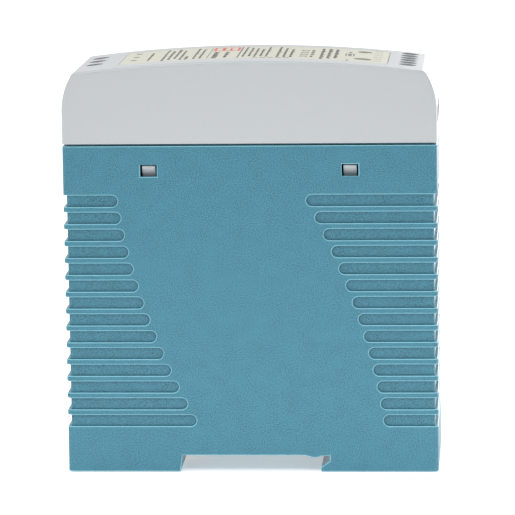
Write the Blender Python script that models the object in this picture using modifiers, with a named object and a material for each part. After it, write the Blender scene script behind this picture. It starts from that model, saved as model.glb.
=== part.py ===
"""DIN rail power supply, 90 x 40 x 100 mm, as separate closed pieces.

The supply stands on its rail feet. +X runs along the 90 mm height, from the input terminals to the
output terminals, +Y across the 40 mm width, and +Z from the rail feet to the domed front.
All dimensions are in millimetres, and the helpers turn them into metres.
"""

import math

import bmesh
import bpy
from mathutils import Matrix, Vector

MM = 0.001

# Envelope
HALF_X = 45.0
HALF_Y = 20.0
FRONT_Z = 100.0
WALL = 1.8
GAP = 0.3

# Rear case
CASE_RIM_Z = 79.7
FLOOR_Z = 6.0
CORNER_R = 1.0
INNER_X = HALF_X - WALL
INNER_Y = HALF_Y - WALL
TONGUE_INSET = 1.0
TONGUE_Z = 81.4
SHELF_Z = 80.4
GUIDE_X = 40.0
GUIDE_SLOT_X = 41.4
GUIDE_SLOT_Y = (14.8, 17.2)
GUIDE_RIB = 1.4
PILLAR_Y = -14.0

# Grip grooves and the vent slots in their floors
GROOVES = 14
GROOVE_OPENING = 2.8
GROOVE_PITCH = 4.138
GROOVE_LOW_Z = 11.2
GROOVE_DEPTH = 0.8
GROOVE_ROUND_STEPS = 4
VENT_HEIGHT = 1.8
VENT_FIRST = 2
VENT_Y = (1.5, 12.8)

# Rail recess, read along +X at the rail side
RECESS_Z = 4.0
RECESS_LATCH_X = (-17.7, -17.1)
RECESS_RIB = ((12.5, 4.0), (15.0, 3.45))
HOOK_WALL_X = 18.7
HOOK_ROOT_Z = 2.6
HOOK_TIP = (16.5, 1.0)

# Rail latch and its spring
LATCH_Z = (1.6, 2.8)
LATCH_X = (-44.2, -15.7)
LATCH_HALF_Y = 7.0
LATCH_TRAVEL = 3.5
CHANNEL_LIP_HALF_Y = 5.0
SPRING_WINDOW_X = (-39.0, -27.0)
SPRING_WINDOW_HALF_Y = 2.4
SPRING_POST_X = (-38.4, -36.6)
SPRING_POST_HALF_Y = 1.9
SPRING_X = (-36.3, -27.3)
SPRING_Z = 2.2
SPRING_R = 1.7
SPRING_WIRE_R = 0.25
SPRING_TURNS = 6
SPRING_POINTS_PER_TURN = 12

# Snap fit between the two housings
SNAP_X = 24.2
WINDOW_HALF_X = 2.0
WINDOW_Z = (72.25, 75.15)
SNAP_HALF_X = 1.6

# Front cover
COVER_RIM_Z = 80.2
REBATE_Z = 81.7
DOME_R = 340.0
SHOULDER_R = 17.0
SHOULDER_Z = 88.0
EDGE_R = 1.4

# Nameplate
LABEL_X = (-31.8, 33.0)
LABEL_Y = (-12.5, 15.0)
LABEL_THICK = 0.25
LABEL_RECESS = 0.55
LABEL_MARGIN = 0.4
LABEL_CORNER_R = 2.0

# Terminals: one row of poles at each end, both a little off the middle of the width
ROW_Y = 2.5
INPUT_X = -38.3
INPUT_POLES = 3
INPUT_PITCH = 7.5
OUTPUT_X = 37.9
OUTPUT_POLES = 6
OUTPUT_PITCH = 5.0
SCREW_HOLE_R = 2.1
SCREW_HEAD_R = 1.8
SCREW_SHANK_R = 0.9
SCREW_HEAD_Z = (93.2, 94.8)
SCREW_TIP_Z = 88.6
BLOCK_Z = (82.8, 95.2)
BLOCK_INNER_X = 31.6
BLOCK_OUTER_X = 42.8
BLOCK_CHAMFER = (41.0, 90.0)
CHAMBER_X = (33.2, 41.2)
CHAMBER_Z = (83.3, 92.3)
CLAMP_X = (34.0, 40.4)
CLAMP_HALF_Y = 1.75
CLAMP_Z = (83.7, 90.0)
CLAMP_SIDE = 0.5
CLAMP_BOTTOM = 0.7
CLAMP_TOP = 1.0
CLAMP_SCREW_R = 1.2
ENTRY_Z = (84.0, 87.9)

# Boards
MAIN_BOARD_X = 41.1
MAIN_BOARD_Y = (15.2, 16.8)
MAIN_BOARD_Z = (6.5, 70.5)
COMPONENT_Y = MAIN_BOARD_Y[0] - GAP
FRONT_BOARD_X = 42.4
FRONT_BOARD_Y = 17.6
FRONT_BOARD_Z = (80.9, 82.5)
ON_FRONT_BOARD_Z = FRONT_BOARD_Z[1] + GAP

# Indicator and adjuster, side by side on the front board
TRIMMER_AT = (27.0, -6.5)
LED_AT = (27.0, 9.5)
TRIMMER_HOLE_R = 2.1
LED_HOLE_R = 1.7
LABEL_TRIMMER_R = 2.6
LABEL_LED_R = 2.0


def new_collection(name):
    collection = bpy.data.collections.new(name)
    bpy.context.scene.collection.children.link(collection)
    return collection


def clear_scene():
    for old in list(bpy.data.objects):
        bpy.data.objects.remove(old)


clear_scene()
PARTS = new_collection("din_rail_power_supply")
CUTTERS = new_collection("cutters")


# ---------------------------------------------------------------- helpers


def material(name, colour, roughness, metallic=0.0):
    made = bpy.data.materials.new(name)
    made.use_nodes = True
    shader = made.node_tree.nodes["Principled BSDF"]
    shader.inputs["Base Color"].default_value = (*colour, 1.0)
    shader.inputs["Roughness"].default_value = roughness
    shader.inputs["Metallic"].default_value = metallic
    return made


def place(name, shape, origin):
    """Turns a bmesh in millimetres into an object in metres, with its origin at the given point."""
    bmesh.ops.transform(
        shape, matrix=Matrix.Scale(MM, 4) @ Matrix.Translation(-Vector(origin)), verts=shape.verts
    )
    mesh = bpy.data.meshes.new(name)
    shape.to_mesh(mesh)
    shape.free()
    made = bpy.data.objects.new(name, mesh)
    made.location = Vector(origin) * MM
    PARTS.objects.link(made)
    return made


def middle(low, high):
    return (Vector(low) + Vector(high)) / 2


def boxes(name, corners, origin=None):
    """One object with a box for each (low corner, high corner)."""
    shape = bmesh.new()
    for low, high in corners:
        size = Vector(high) - Vector(low)
        matrix = Matrix.Translation(middle(low, high)) @ Matrix.Diagonal((*size, 1.0))
        bmesh.ops.create_cube(shape, size=1.0, matrix=matrix)
    return place(name, shape, origin or middle(*corners[0]))


def box(name, low, high, origin=None):
    return boxes(name, [(low, high)], origin)


AXIS_TURN = {
    "X": Matrix.Rotation(math.radians(90), 4, "Y"),
    "Y": Matrix.Rotation(math.radians(-90), 4, "X"),
    "Z": Matrix.Identity(4),
}
AXIS_STEP = {"X": Vector((1, 0, 0)), "Y": Vector((0, 1, 0)), "Z": Vector((0, 0, 1))}


def cylinders(name, stages, axis, segments, origin=None):
    """One object with a cylinder for each (base centre, radius, length) along axis."""
    shape = bmesh.new()
    for base, radius, length in stages:
        centre = Vector(base) + AXIS_STEP[axis] * (length / 2)
        bmesh.ops.create_cone(
            shape,
            cap_ends=True,
            segments=segments,
            radius1=radius,
            radius2=radius,
            depth=length,
            matrix=Matrix.Translation(centre) @ AXIS_TURN[axis],
        )
    made = place(name, shape, origin or stages[0][0])
    return smooth(made)


def cylinder(name, base, radius, length, axis="Z", segments=24, origin=None):
    return cylinders(name, [(base, radius, length)], axis, segments, origin)


def smooth(made, angle=40):
    made.data.shade_smooth()
    made.data.set_sharp_from_angle(angle=math.radians(angle))
    return made


# Which way the outline's two axes and its depth point, for a prism along each axis
PRISM_TURN = {
    "X": Matrix(((0, 0, 1, 0), (1, 0, 0, 0), (0, 1, 0, 0), (0, 0, 0, 1))),
    "Y": Matrix(((1, 0, 0, 0), (0, 0, -1, 0), (0, 1, 0, 0), (0, 0, 0, 1))),
    "Z": Matrix.Identity(4),
}


def prism(name, outline, low, high, axis):
    """An outline extruded from low to high. It lies in YZ for axis X, in XZ for Y and in XY for Z."""
    curve = bpy.data.curves.new(name, "CURVE")
    curve.dimensions = "2D"
    curve.fill_mode = "BOTH"
    curve.extrude = (high - low) / 2 * MM
    spline = curve.splines.new("POLY")
    spline.points.add(len(outline) - 1)
    for point, (u, v) in zip(spline.points, outline):
        point.co = (u * MM, v * MM, 0.0, 1.0)
    spline.use_cyclic_u = True
    flat = bpy.data.objects.new(name + "_outline", curve)
    CUTTERS.objects.link(flat)
    bpy.context.view_layer.update()
    mesh = bpy.data.meshes.new_from_object(flat.evaluated_get(bpy.context.evaluated_depsgraph_get()))
    bpy.data.objects.remove(flat)
    bpy.data.curves.remove(curve)
    shape = bmesh.new()
    shape.from_mesh(mesh)
    bpy.data.meshes.remove(mesh)
    bmesh.ops.remove_doubles(shape, verts=shape.verts, dist=1e-6)
    bmesh.ops.transform(shape, matrix=PRISM_TURN[axis], verts=shape.verts)
    bmesh.ops.recalc_face_normals(shape, faces=shape.faces)
    made_mesh = bpy.data.meshes.new(name)
    shape.to_mesh(made_mesh)
    shape.free()
    made = bpy.data.objects.new(name, made_mesh)
    made.location = AXIS_STEP[axis] * ((low + high) / 2 * MM)
    PARTS.objects.link(made)
    return made


def turned(name, profile, at, axis, segments=24):
    """A profile of (radius, height) points turned about axis at the given point, top to bottom."""
    shape = bmesh.new()
    points = [shape.verts.new((radius * MM, 0.0, height * MM)) for radius, height in profile]
    for first, second in zip(points, points[1:]):
        shape.edges.new((first, second))
    mesh = bpy.data.meshes.new(name)
    shape.to_mesh(mesh)
    shape.free()
    made = bpy.data.objects.new(name, mesh)
    made.location = Vector(at) * MM
    made.rotation_euler = AXIS_TURN[axis].to_euler()
    PARTS.objects.link(made)
    screw = made.modifiers.new("turn", "SCREW")
    screw.axis = "Z"
    screw.steps = screw.render_steps = segments
    screw.use_merge_vertices = True
    screw.merge_threshold = 1e-6
    screw.use_smooth_shade = True
    return made


def helper(other):
    """Moves an object among the cutters, so that it is no piece of the supply."""
    PARTS.objects.unlink(other)
    CUTTERS.objects.link(other)
    other.hide_render = True
    other.display_type = "WIRE"


def combine(target, other, operation):
    helper(other)
    modifier = target.modifiers.new(other.name, "BOOLEAN")
    modifier.operation = operation
    modifier.solver = "EXACT"
    modifier.object = other
    return target


def cut(target, *others):
    for other in others:
        combine(target, other, "DIFFERENCE")
    return target


def join(target, *others):
    for other in others:
        combine(target, other, "UNION")
    return target


def bevel(target, width, segments, angle=40):
    modifier = target.modifiers.new("bevel", "BEVEL")
    modifier.width = width * MM
    modifier.segments = segments
    modifier.limit_method = "ANGLE"
    modifier.angle_limit = math.radians(angle)
    return target


def paint(made, colour_material):
    made.data.materials.clear()
    made.data.materials.append(colour_material)
    return made


def arc(centre, radius, start, end, steps):
    """Points along an arc, with its angles in degrees."""
    turns = [math.radians(start + (end - start) * i / steps) for i in range(steps + 1)]
    return [(centre[0] + radius * math.cos(a), centre[1] + radius * math.sin(a)) for a in turns]


def rounded_rectangle(half_x, half_y, radius, steps=3):
    points = []
    for quarter, (x, y) in enumerate(((1, 1), (-1, 1), (-1, -1), (1, -1))):
        corner = (x * (half_x - radius), y * (half_y - radius))
        points += arc(corner, radius, 90 * quarter, 90 * quarter + 90, steps)
    return points


def pole_positions(poles, pitch):
    return [ROW_Y + (i - (poles - 1) / 2) * pitch for i in range(poles)]


INPUT_Y = pole_positions(INPUT_POLES, INPUT_PITCH)
OUTPUT_Y = pole_positions(OUTPUT_POLES, OUTPUT_PITCH)
OUTSIDE = 2.0


# ---------------------------------------------------------------- rear case


def groove_outline(side, index):
    """A grip groove with a round inner end. Grooves lengthen by a square law, away from one corner."""
    rank = GROOVES - 1 - index if side < 0 else index
    length = 13.0 + 0.62 * rank + 0.06 * rank * rank
    radius = GROOVE_OPENING / 2
    z = GROOVE_LOW_Z + radius + index * GROOVE_PITCH
    centre = (side * (HALF_X - length + radius), z)
    turn = 90 if side > 0 else -90
    end = arc(centre, radius, turn, turn + 180, GROOVE_ROUND_STEPS)
    beyond = side * (HALF_X + OUTSIDE)
    return [(beyond, end[-1][1]), (beyond, end[0][1]), *end]


def grip_grooves():
    """Cutters for all the grooves, hollowed so that they stay shallow as they wrap round the corners."""
    first = None
    for side in (-1, 1):
        for index in range(GROOVES):
            outline = groove_outline(side, index)
            groove = prism("groove_cutter", outline, -HALF_Y - OUTSIDE, HALF_Y + OUTSIDE, "Y")
            if first is None:
                first = groove
                continue
            shape = bmesh.new()
            shape.from_mesh(first.data)
            shape.from_mesh(groove.data)
            shape.to_mesh(first.data)
            shape.free()
            bpy.data.objects.remove(groove)
    core = prism(
        "groove_floor",
        rounded_rectangle(HALF_X - GROOVE_DEPTH, HALF_Y - GROOVE_DEPTH, 0.6, 2),
        -OUTSIDE,
        FRONT_Z,
        "Z",
    )
    return cut(first, core)


def vent_slots():
    slots = []
    for side in (-1, 1):
        x = sorted((side * (INNER_X - 1.0), side * (HALF_X + OUTSIDE)))
        for index in range(VENT_FIRST, GROOVES - VENT_FIRST):
            z = GROOVE_LOW_Z + GROOVE_OPENING / 2 + index * GROOVE_PITCH
            for across in (-1, 1):
                y = sorted((across * VENT_Y[0], across * VENT_Y[1]))
                low = (x[0], y[0], z - VENT_HEIGHT / 2)
                slots.append((low, (x[1], y[1], z + VENT_HEIGHT / 2)))
    return boxes("vent_cutter", slots)


def case_cavity():
    """The inside up to the shelf, less the main board's guides and the front board's pillars."""
    beyond = 0.5
    supports, slots = [], []
    for side in (-1, 1):
        x = sorted((side * GUIDE_X, side * (INNER_X + beyond)))
        rib_y = GUIDE_SLOT_Y[0] - GUIDE_RIB
        supports.append(((x[0], rib_y, FLOOR_Z - 1), (x[1], INNER_Y + beyond, FRONT_Z)))
        supports.append(((x[0], -INNER_Y - beyond, FLOOR_Z - 1), (x[1], PILLAR_Y, FRONT_Z)))
        x = sorted((side * (GUIDE_X - 1), side * GUIDE_SLOT_X))
        low = (x[0], GUIDE_SLOT_Y[0], FLOOR_Z - 2)
        slots.append((low, (x[1], GUIDE_SLOT_Y[1], FRONT_Z + 1)))
    guides = cut(boxes("guide_shape", supports), boxes("guide_slot_cutter", slots))
    inside = box("cavity_cutter", (-INNER_X, -INNER_Y, FLOOR_Z), (INNER_X, INNER_Y, SHELF_Z))
    return cut(inside, guides)


def rail_recess():
    outline = [
        (RECESS_LATCH_X[0], -OUTSIDE),
        (RECESS_LATCH_X[0], 0.0),
        (RECESS_LATCH_X[1], RECESS_Z),
        *RECESS_RIB,
        (HOOK_WALL_X, RECESS_Z),
        (HOOK_WALL_X, HOOK_ROOT_Z),
        HOOK_TIP,
        (HOOK_TIP[0], -OUTSIDE),
    ]
    return prism("recess_cutter", outline, -HALF_Y - OUTSIDE, HALF_Y + OUTSIDE, "Y")


def latch_channel():
    """A T-shaped slot through the latch foot, and a pocket above it for the spring."""
    start, end = -HALF_X - OUTSIDE, RECESS_LATCH_X[1] + 0.3
    wide = LATCH_HALF_Y + GAP
    low, high = LATCH_Z[0] - GAP, LATCH_Z[1] + GAP
    plate = box("channel_cutter", (start, -wide, low), (end, wide, high))
    lip = CHANNEL_LIP_HALF_Y
    mouth = box("channel_mouth_cutter", (start, -lip, -OUTSIDE), (end, lip, low + 0.2))
    pocket_y = SPRING_WINDOW_HALF_Y + 0.2
    pocket = box(
        "spring_pocket_cutter",
        (SPRING_WINDOW_X[0], -pocket_y, high - 0.2),
        (SPRING_WINDOW_X[1] + 0.6, pocket_y, SPRING_Z + SPRING_R + SPRING_WIRE_R + 0.5),
    )
    return plate, mouth, pocket


def rear_case():
    case = prism("rear_case", rounded_rectangle(HALF_X, HALF_Y, CORNER_R), 0.0, CASE_RIM_Z, "Z")
    tongue = rounded_rectangle(HALF_X - TONGUE_INSET, HALF_Y - TONGUE_INSET, 0.6, 2)
    join(case, prism("tongue_shape", tongue, FRONT_Z * 0.7, TONGUE_Z, "Z"))
    cut(case, grip_grooves(), case_cavity(), rail_recess(), *latch_channel())
    cut(case, box("rim_cutter", (-INNER_X, -INNER_Y, SHELF_Z - 0.1), (INNER_X, INNER_Y, FRONT_Z)))
    cut(case, vent_slots())
    windows = [
        (
            (x - WINDOW_HALF_X, -HALF_Y - OUTSIDE, WINDOW_Z[0]),
            (x + WINDOW_HALF_X, HALF_Y + OUTSIDE, WINDOW_Z[1]),
        )
        for x in (-SNAP_X, SNAP_X)
    ]
    cut(case, boxes("window_cutter", windows))
    post = box(
        "spring_post_shape",
        (SPRING_POST_X[0], -SPRING_POST_HALF_Y, 0.9),
        (SPRING_POST_X[1], SPRING_POST_HALF_Y, FLOOR_Z - 0.6),
    )
    join(case, post)
    return paint(case, material("teal_plastic", (0.08, 0.26, 0.35), 0.55))


# ---------------------------------------------------------------- rail latch


def rail_latch():
    """A sliding plate with a ramped tip, a window for the spring and a slot for a screwdriver."""
    low, high = LATCH_Z
    outline = [
        (LATCH_X[0], low),
        (LATCH_X[1] - 0.8, low),
        (LATCH_X[1], low + 0.8),
        (LATCH_X[1], high),
        (LATCH_X[0], high),
    ]
    latch = prism("rail_latch", outline, -LATCH_HALF_Y, LATCH_HALF_Y, "Y")
    window_y = SPRING_WINDOW_HALF_Y
    window = box(
        "latch_window_cutter",
        (SPRING_WINDOW_X[0], -window_y, low - 1),
        (SPRING_WINDOW_X[1], window_y, high + 1),
    )
    pull = box("pull_slot_cutter", (-43.0, -2.6, low - 1), (-41.2, 2.6, high + 1))
    cut(latch, window, pull)
    return paint(latch, material("latch_steel", (0.42, 0.38, 0.33), 0.4, 1.0))


def latch_spring():
    """A compression coil along X, between the post in the foot and the end of the latch's window."""
    count = SPRING_TURNS * SPRING_POINTS_PER_TURN
    wire = bpy.data.curves.new("latch_spring", "CURVE")
    wire.dimensions = "3D"
    wire.bevel_depth = SPRING_WIRE_R * MM
    wire.bevel_resolution = 2
    wire.use_fill_caps = True
    spline = wire.splines.new("POLY")
    spline.points.add(count)
    start, end = SPRING_X[0] + SPRING_WIRE_R, SPRING_X[1] - SPRING_WIRE_R
    for i, point in enumerate(spline.points):
        angle = 2 * math.pi * i / SPRING_POINTS_PER_TURN
        along = start + (end - start) * i / count
        across = SPRING_R * math.cos(angle)
        point.co = (along * MM, across * MM, (SPRING_Z + SPRING_R * math.sin(angle)) * MM, 1.0)
    spring = bpy.data.objects.new("latch_spring", wire)
    PARTS.objects.link(spring)
    return paint(spring, material("spring_steel", (0.6, 0.6, 0.6), 0.3, 1.0))


# ---------------------------------------------------------------- front cover


def front_outline(inset, foot_z, dome_steps=20, shoulder_steps=4):
    """The domed front and its leaning shoulders, in XZ, open below at foot_z."""
    dome_r, shoulder_r = DOME_R - inset, SHOULDER_R - inset
    dome_z, shoulder_x = FRONT_Z - DOME_R, HALF_X - SHOULDER_R
    reach = math.hypot(shoulder_x, SHOULDER_Z - dome_z)
    towards = math.degrees(math.atan2(SHOULDER_Z - dome_z, shoulder_x))
    opening = (dome_r**2 + reach**2 - shoulder_r**2) / (2 * dome_r * reach)
    meet = towards - math.degrees(math.acos(min(1.0, opening)))
    meet_x = dome_r * math.cos(math.radians(meet))
    meet_z = dome_z + dome_r * math.sin(math.radians(meet))
    top = math.degrees(math.atan2(meet_z - SHOULDER_Z, meet_x - shoulder_x))
    shoulder = arc((shoulder_x, SHOULDER_Z), shoulder_r, 0.0, top, shoulder_steps)
    dome = arc((0.0, dome_z), dome_r, meet, 180.0 - meet, dome_steps)
    left = [(-x, z) for x, z in reversed(shoulder)]
    right = [(HALF_X - inset, foot_z), *shoulder]
    return [*right, *dome[1:-1], *left, (inset - HALF_X, foot_z)]


def dome_sheet(name, margin, bottom, top, steps=12):
    """A round-cornered sheet that follows the dome, between two depths below it."""
    dome_z = FRONT_Z - DOME_R
    low_x, high_x = LABEL_X[0] - margin, LABEL_X[1] + margin
    low_y, high_y = LABEL_Y[0] - margin, LABEL_Y[1] + margin
    ends = [math.degrees(math.acos(x / DOME_R)) for x in (high_x + 1, low_x - 1)]
    upper = arc((0.0, dome_z), DOME_R - top, *ends, steps)
    lower = arc((0.0, dome_z), DOME_R - bottom, *reversed(ends), steps)
    sheet = prism(name, upper + lower, low_y - 1, high_y + 1, "Y")
    half = (high_x - low_x) / 2, (high_y - low_y) / 2
    centre = (high_x + low_x) / 2, (high_y + low_y) / 2
    rounded = rounded_rectangle(*half, LABEL_CORNER_R + margin)
    outline = [(x + centre[0], y + centre[1]) for x, y in rounded]
    edge = prism(name + "_edge", outline, BLOCK_Z[0], FRONT_Z + 2 * OUTSIDE, "Z")
    return combine(sheet, edge, "INTERSECT")


def snap_tab(side_x, side_y):
    outline = [
        (16.4, 71.6),
        (17.9, 71.6),
        (17.9, 72.6),
        (19.3, 74.3),
        (19.3, 74.9),
        (17.9, 74.9),
        (17.9, 82.2),
        (18.5, 82.2),
        (18.5, 85.0),
        (16.4, 85.0),
    ]
    mirrored = [(side_y * y, z) for y, z in outline]
    x = side_x * SNAP_X
    return prism("snap_tab_shape", mirrored, x - SNAP_HALF_X, x + SNAP_HALF_X, "X")


def screw_access():
    """Round holes in the front, over every terminal screw."""
    stages = [((OUTPUT_X, y, BLOCK_Z[0]), SCREW_HOLE_R, FRONT_Z) for y in OUTPUT_Y]
    stages += [((INPUT_X, y, BLOCK_Z[0]), SCREW_HOLE_R, FRONT_Z) for y in INPUT_Y]
    return cylinders("screw_hole_cutter", stages, "Z", 16)


def wire_entries():
    low, high = ENTRY_Z
    inner, outer = INNER_X - 1.0, HALF_X + OUTSIDE
    openings = [((inner, y - 1.9, low), (outer, y + 1.9, high)) for y in OUTPUT_Y]
    openings += [((-outer, y - 2.7, low), (-inner, y + 2.7, high)) for y in INPUT_Y]
    return boxes("wire_entry_cutter", openings)


def front_cover():
    cover = prism("front_cover", front_outline(0.0, 75.0), -HALF_Y, HALF_Y, "Y")
    bevel(cover, EDGE_R, 3)
    big = HALF_X + OUTSIDE
    cut(cover, box("foot_cutter", (-big, -big, 70.0), (big, big, COVER_RIM_Z)))
    cut(cover, prism("inside_cutter", front_outline(WALL, 75.0), -INNER_Y, INNER_Y, "Y"))
    rebate = (HALF_X - 0.7, HALF_Y - 0.7)
    cut(cover, box("rebate_cutter", (-rebate[0], -rebate[1], 75.0), (*rebate, REBATE_Z)))
    cut(cover, dome_sheet("label_cutter", LABEL_MARGIN, LABEL_RECESS, -OUTSIDE))
    cut(cover, screw_access(), wire_entries())
    led = cylinder("led_hole_cutter", (*LED_AT, BLOCK_Z[0]), LED_HOLE_R, FRONT_Z, segments=16)
    trimmer_foot = (*TRIMMER_AT, BLOCK_Z[0])
    trimmer = cylinder("trimmer_hole_cutter", trimmer_foot, TRIMMER_HOLE_R, FRONT_Z, segments=16)
    cut(cover, led, trimmer)
    join(cover, *[snap_tab(x, y) for x in (-1, 1) for y in (-1, 1)])
    return paint(cover, material("grey_plastic", (0.72, 0.75, 0.76), 0.45))


def nameplate():
    label = dome_sheet("nameplate", 0.0, LABEL_THICK, 0.0)
    over_trimmer, over_led = (*TRIMMER_AT, BLOCK_Z[0]), (*LED_AT, BLOCK_Z[0])
    trimmer = cylinder("label_trimmer_cutter", over_trimmer, LABEL_TRIMMER_R, FRONT_Z, segments=16)
    led = cylinder("label_led_cutter", over_led, LABEL_LED_R, FRONT_Z, segments=16)
    cut(label, trimmer, led)
    return paint(label, material("label_film", (0.85, 0.83, 0.72), 0.6))


# ---------------------------------------------------------------- terminals


def terminal_block(name, side, row, pitch, chamber_half, entry_half):
    """A moulding with one chamber, screw bore and wire mouth for each pole. side is -1 or 1 along X."""
    half = [
        (BLOCK_INNER_X, BLOCK_Z[0]),
        (BLOCK_OUTER_X, BLOCK_Z[0]),
        (BLOCK_OUTER_X, BLOCK_CHAMFER[1]),
        (BLOCK_CHAMFER[0], BLOCK_Z[1]),
        (BLOCK_INNER_X, BLOCK_Z[1]),
    ]
    ends = row[0] - pitch / 2 - 0.3, row[-1] + pitch / 2 + 0.3
    block = prism(name, [(side * x, z) for x, z in half], *ends, "Y")
    chambers, mouths, bores = [], [], []
    for y in row:
        x = sorted((side * CHAMBER_X[0], side * CHAMBER_X[1]))
        low = (x[0], y - chamber_half, CHAMBER_Z[0])
        chambers.append((low, (x[1], y + chamber_half, CHAMBER_Z[1])))
        x = sorted((side * (CHAMBER_X[1] - 0.5), side * (BLOCK_OUTER_X + OUTSIDE)))
        low = (x[0], y - entry_half, ENTRY_Z[0] + 0.2)
        mouths.append((low, (x[1], y + entry_half, ENTRY_Z[1] - 0.3)))
        at = (OUTPUT_X if side > 0 else INPUT_X, y)
        bores.append(((*at, SCREW_HEAD_Z[0] - GAP), SCREW_HOLE_R, 10.0))
    cut(block, boxes(name + "_chamber", chambers), boxes(name + "_mouth", mouths))
    cut(block, cylinders(name + "_head_bore", bores, "Z", 12))
    necks = [((x, y, CHAMBER_Z[1] - 0.5), SCREW_SHANK_R + 0.4, 2.0) for (x, y, _), _, _ in bores]
    cut(block, cylinders(name + "_neck_bore", necks, "Z", 12))
    return paint(block, material(name + "_plastic", (0.10, 0.32, 0.16), 0.5))


def terminal_screw(name, x, y, steel):
    """A slotted screw with its origin on its axis, under the head."""
    low, high = SCREW_HEAD_Z
    tip = SCREW_TIP_Z
    shank = SCREW_SHANK_R
    profile = [
        (0.0, high - low),
        (SCREW_HEAD_R, high - low),
        (SCREW_HEAD_R, 0.0),
        (shank, 0.0),
        (shank, tip - low),
        (0.0, tip - low),
    ]
    screw = turned(name, profile, (x, y, low), "Z", 14)
    slot = box(name + "_slot", (x - 3.0, y - 0.3, high - 0.8), (x + 3.0, y + 0.3, high + 1.0))
    return paint(cut(screw, slot), steel)


def terminal_clamp(name, side, y, half_y, brass):
    """A rising cage: a rectangular tube along the wire, with a hole in its roof for the screw."""
    x = sorted((side * CLAMP_X[0], side * CLAMP_X[1]))
    low, high = CLAMP_Z
    at = (OUTPUT_X if side > 0 else INPUT_X, y, low)
    clamp = box(name, (x[0], y - half_y, low), (x[1], y + half_y, high), at)
    inner = half_y - CLAMP_SIDE
    way = box(
        name + "_way",
        (x[0] - 1, y - inner, low + CLAMP_BOTTOM),
        (x[1] + 1, y + inner, high - CLAMP_TOP),
    )
    roof = cylinder(name + "_hole", (at[0], y, high - 2.0), CLAMP_SCREW_R, 3.0, segments=16)
    return paint(cut(clamp, way, roof), brass)


def terminals():
    steel = material("screw_steel", (0.62, 0.62, 0.60), 0.35, 1.0)
    brass = material("clamp_brass", (0.70, 0.58, 0.32), 0.35, 1.0)
    terminal_block("input_terminal_block", -1, INPUT_Y, INPUT_PITCH, 3.1, 2.2)
    terminal_block("output_terminal_block", 1, OUTPUT_Y, OUTPUT_PITCH, 2.1, 1.5)
    for i, y in enumerate(INPUT_Y, 1):
        terminal_screw(f"input_screw_{i}", INPUT_X, y, steel)
        terminal_clamp(f"input_clamp_{i}", -1, y, CLAMP_HALF_Y + 1.0, brass)
    for i, y in enumerate(OUTPUT_Y, 1):
        terminal_screw(f"output_screw_{i}", OUTPUT_X, y, steel)
        terminal_clamp(f"output_clamp_{i}", 1, y, CLAMP_HALF_Y, brass)


# ---------------------------------------------------------------- boards and front controls


def boards():
    laminate = material("laminate", (0.10, 0.30, 0.14), 0.5)
    low_y, high_y = MAIN_BOARD_Y
    low_z, high_z = MAIN_BOARD_Z
    paint(
        box("main_board", (-MAIN_BOARD_X, low_y, low_z), (MAIN_BOARD_X, high_y, high_z)), laminate
    )
    x, y = FRONT_BOARD_X, FRONT_BOARD_Y
    front = box("front_board", (-x, -y, FRONT_BOARD_Z[0]), (x, y, FRONT_BOARD_Z[1]))
    notches = []
    for side in (-1, 1):
        for snap in (-SNAP_X, SNAP_X):
            across = sorted((side * 15.9, side * (y + OUTSIDE)))
            low = (snap - 2.2, across[0], FRONT_BOARD_Z[0] - 1)
            notches.append((low, (snap + 2.2, across[1], FRONT_BOARD_Z[1] + 1)))
    paint(cut(front, boxes("board_notch_cutter", notches)), laminate)
    sheet_y = high_y + GAP, high_y + 2 * GAP
    sheet = box("insulation_sheet", (-39.0, sheet_y[0], low_z), (39.0, sheet_y[1], high_z))
    paint(sheet, material("clear_film", (0.75, 0.78, 0.80), 0.3))
    link_z = FRONT_BOARD_Z[0] - GAP
    link = box("board_connector", (-8.0, 10.2, 66.0), (8.0, COMPONENT_Y - 0.2, link_z))
    paint(link, material("connector_plastic", (0.05, 0.05, 0.05), 0.5))


def front_controls():
    x, y = TRIMMER_AT
    low = ON_FRONT_BOARD_Z
    body = box("trimmer_body", (x - 3.3, y - 3.3, low), (x + 3.3, y + 3.3, low + 7.0))
    paint(body, material("trimmer_blue", (0.05, 0.16, 0.55), 0.45))
    shaft_low, shaft_high = low + 7.0 + GAP, 98.2
    profile = [
        (0.0, shaft_high - shaft_low),
        (1.3, shaft_high - shaft_low),
        (1.6, shaft_high - shaft_low - 0.3),
        (1.6, 0.0),
        (0.0, 0.0),
    ]
    rotor = turned("trimmer_rotor", profile, (x, y, shaft_low), "Z", 20)
    slot = box(
        "rotor_slot", (x - 3.0, y - 0.35, shaft_high - 0.9), (x + 3.0, y + 0.35, shaft_high + 1.0)
    )
    paint(cut(rotor, slot), material("rotor_white", (0.80, 0.78, 0.70), 0.45))
    x, y = LED_AT
    lens = material("lens_green", (0.35, 0.75, 0.35), 0.2)
    paint(cylinder("status_led", (x, y, low), 1.6, 3.4, segments=16), lens)
    pipe_low, pipe_high = low + 3.4 + GAP, 98.8
    pipe = cylinder("led_light_pipe", (x, y, pipe_low), 1.4, pipe_high - pipe_low, segments=16)
    paint(pipe, lens)


# ---------------------------------------------------------------- power components


def on_board(name, x, z, height, colour_material):
    """A box-shaped component that stands off the main board by its height."""
    low = (x[0], COMPONENT_Y - height, z[0])
    return paint(box(name, low, (x[1], COMPONENT_Y, z[1])), colour_material)


def capacitor_can(name, x, z, radius, height):
    """A can that stands on the main board, with rounded rims."""
    rim = 0.8
    profile = [
        (0.0, height),
        (radius - rim, height),
        (radius, height - rim),
        (radius, rim),
        (radius - rim, 0.0),
        (0.0, 0.0),
    ]
    return turned(name, profile, (x, COMPONENT_Y - height, z), "Y", 24)


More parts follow.
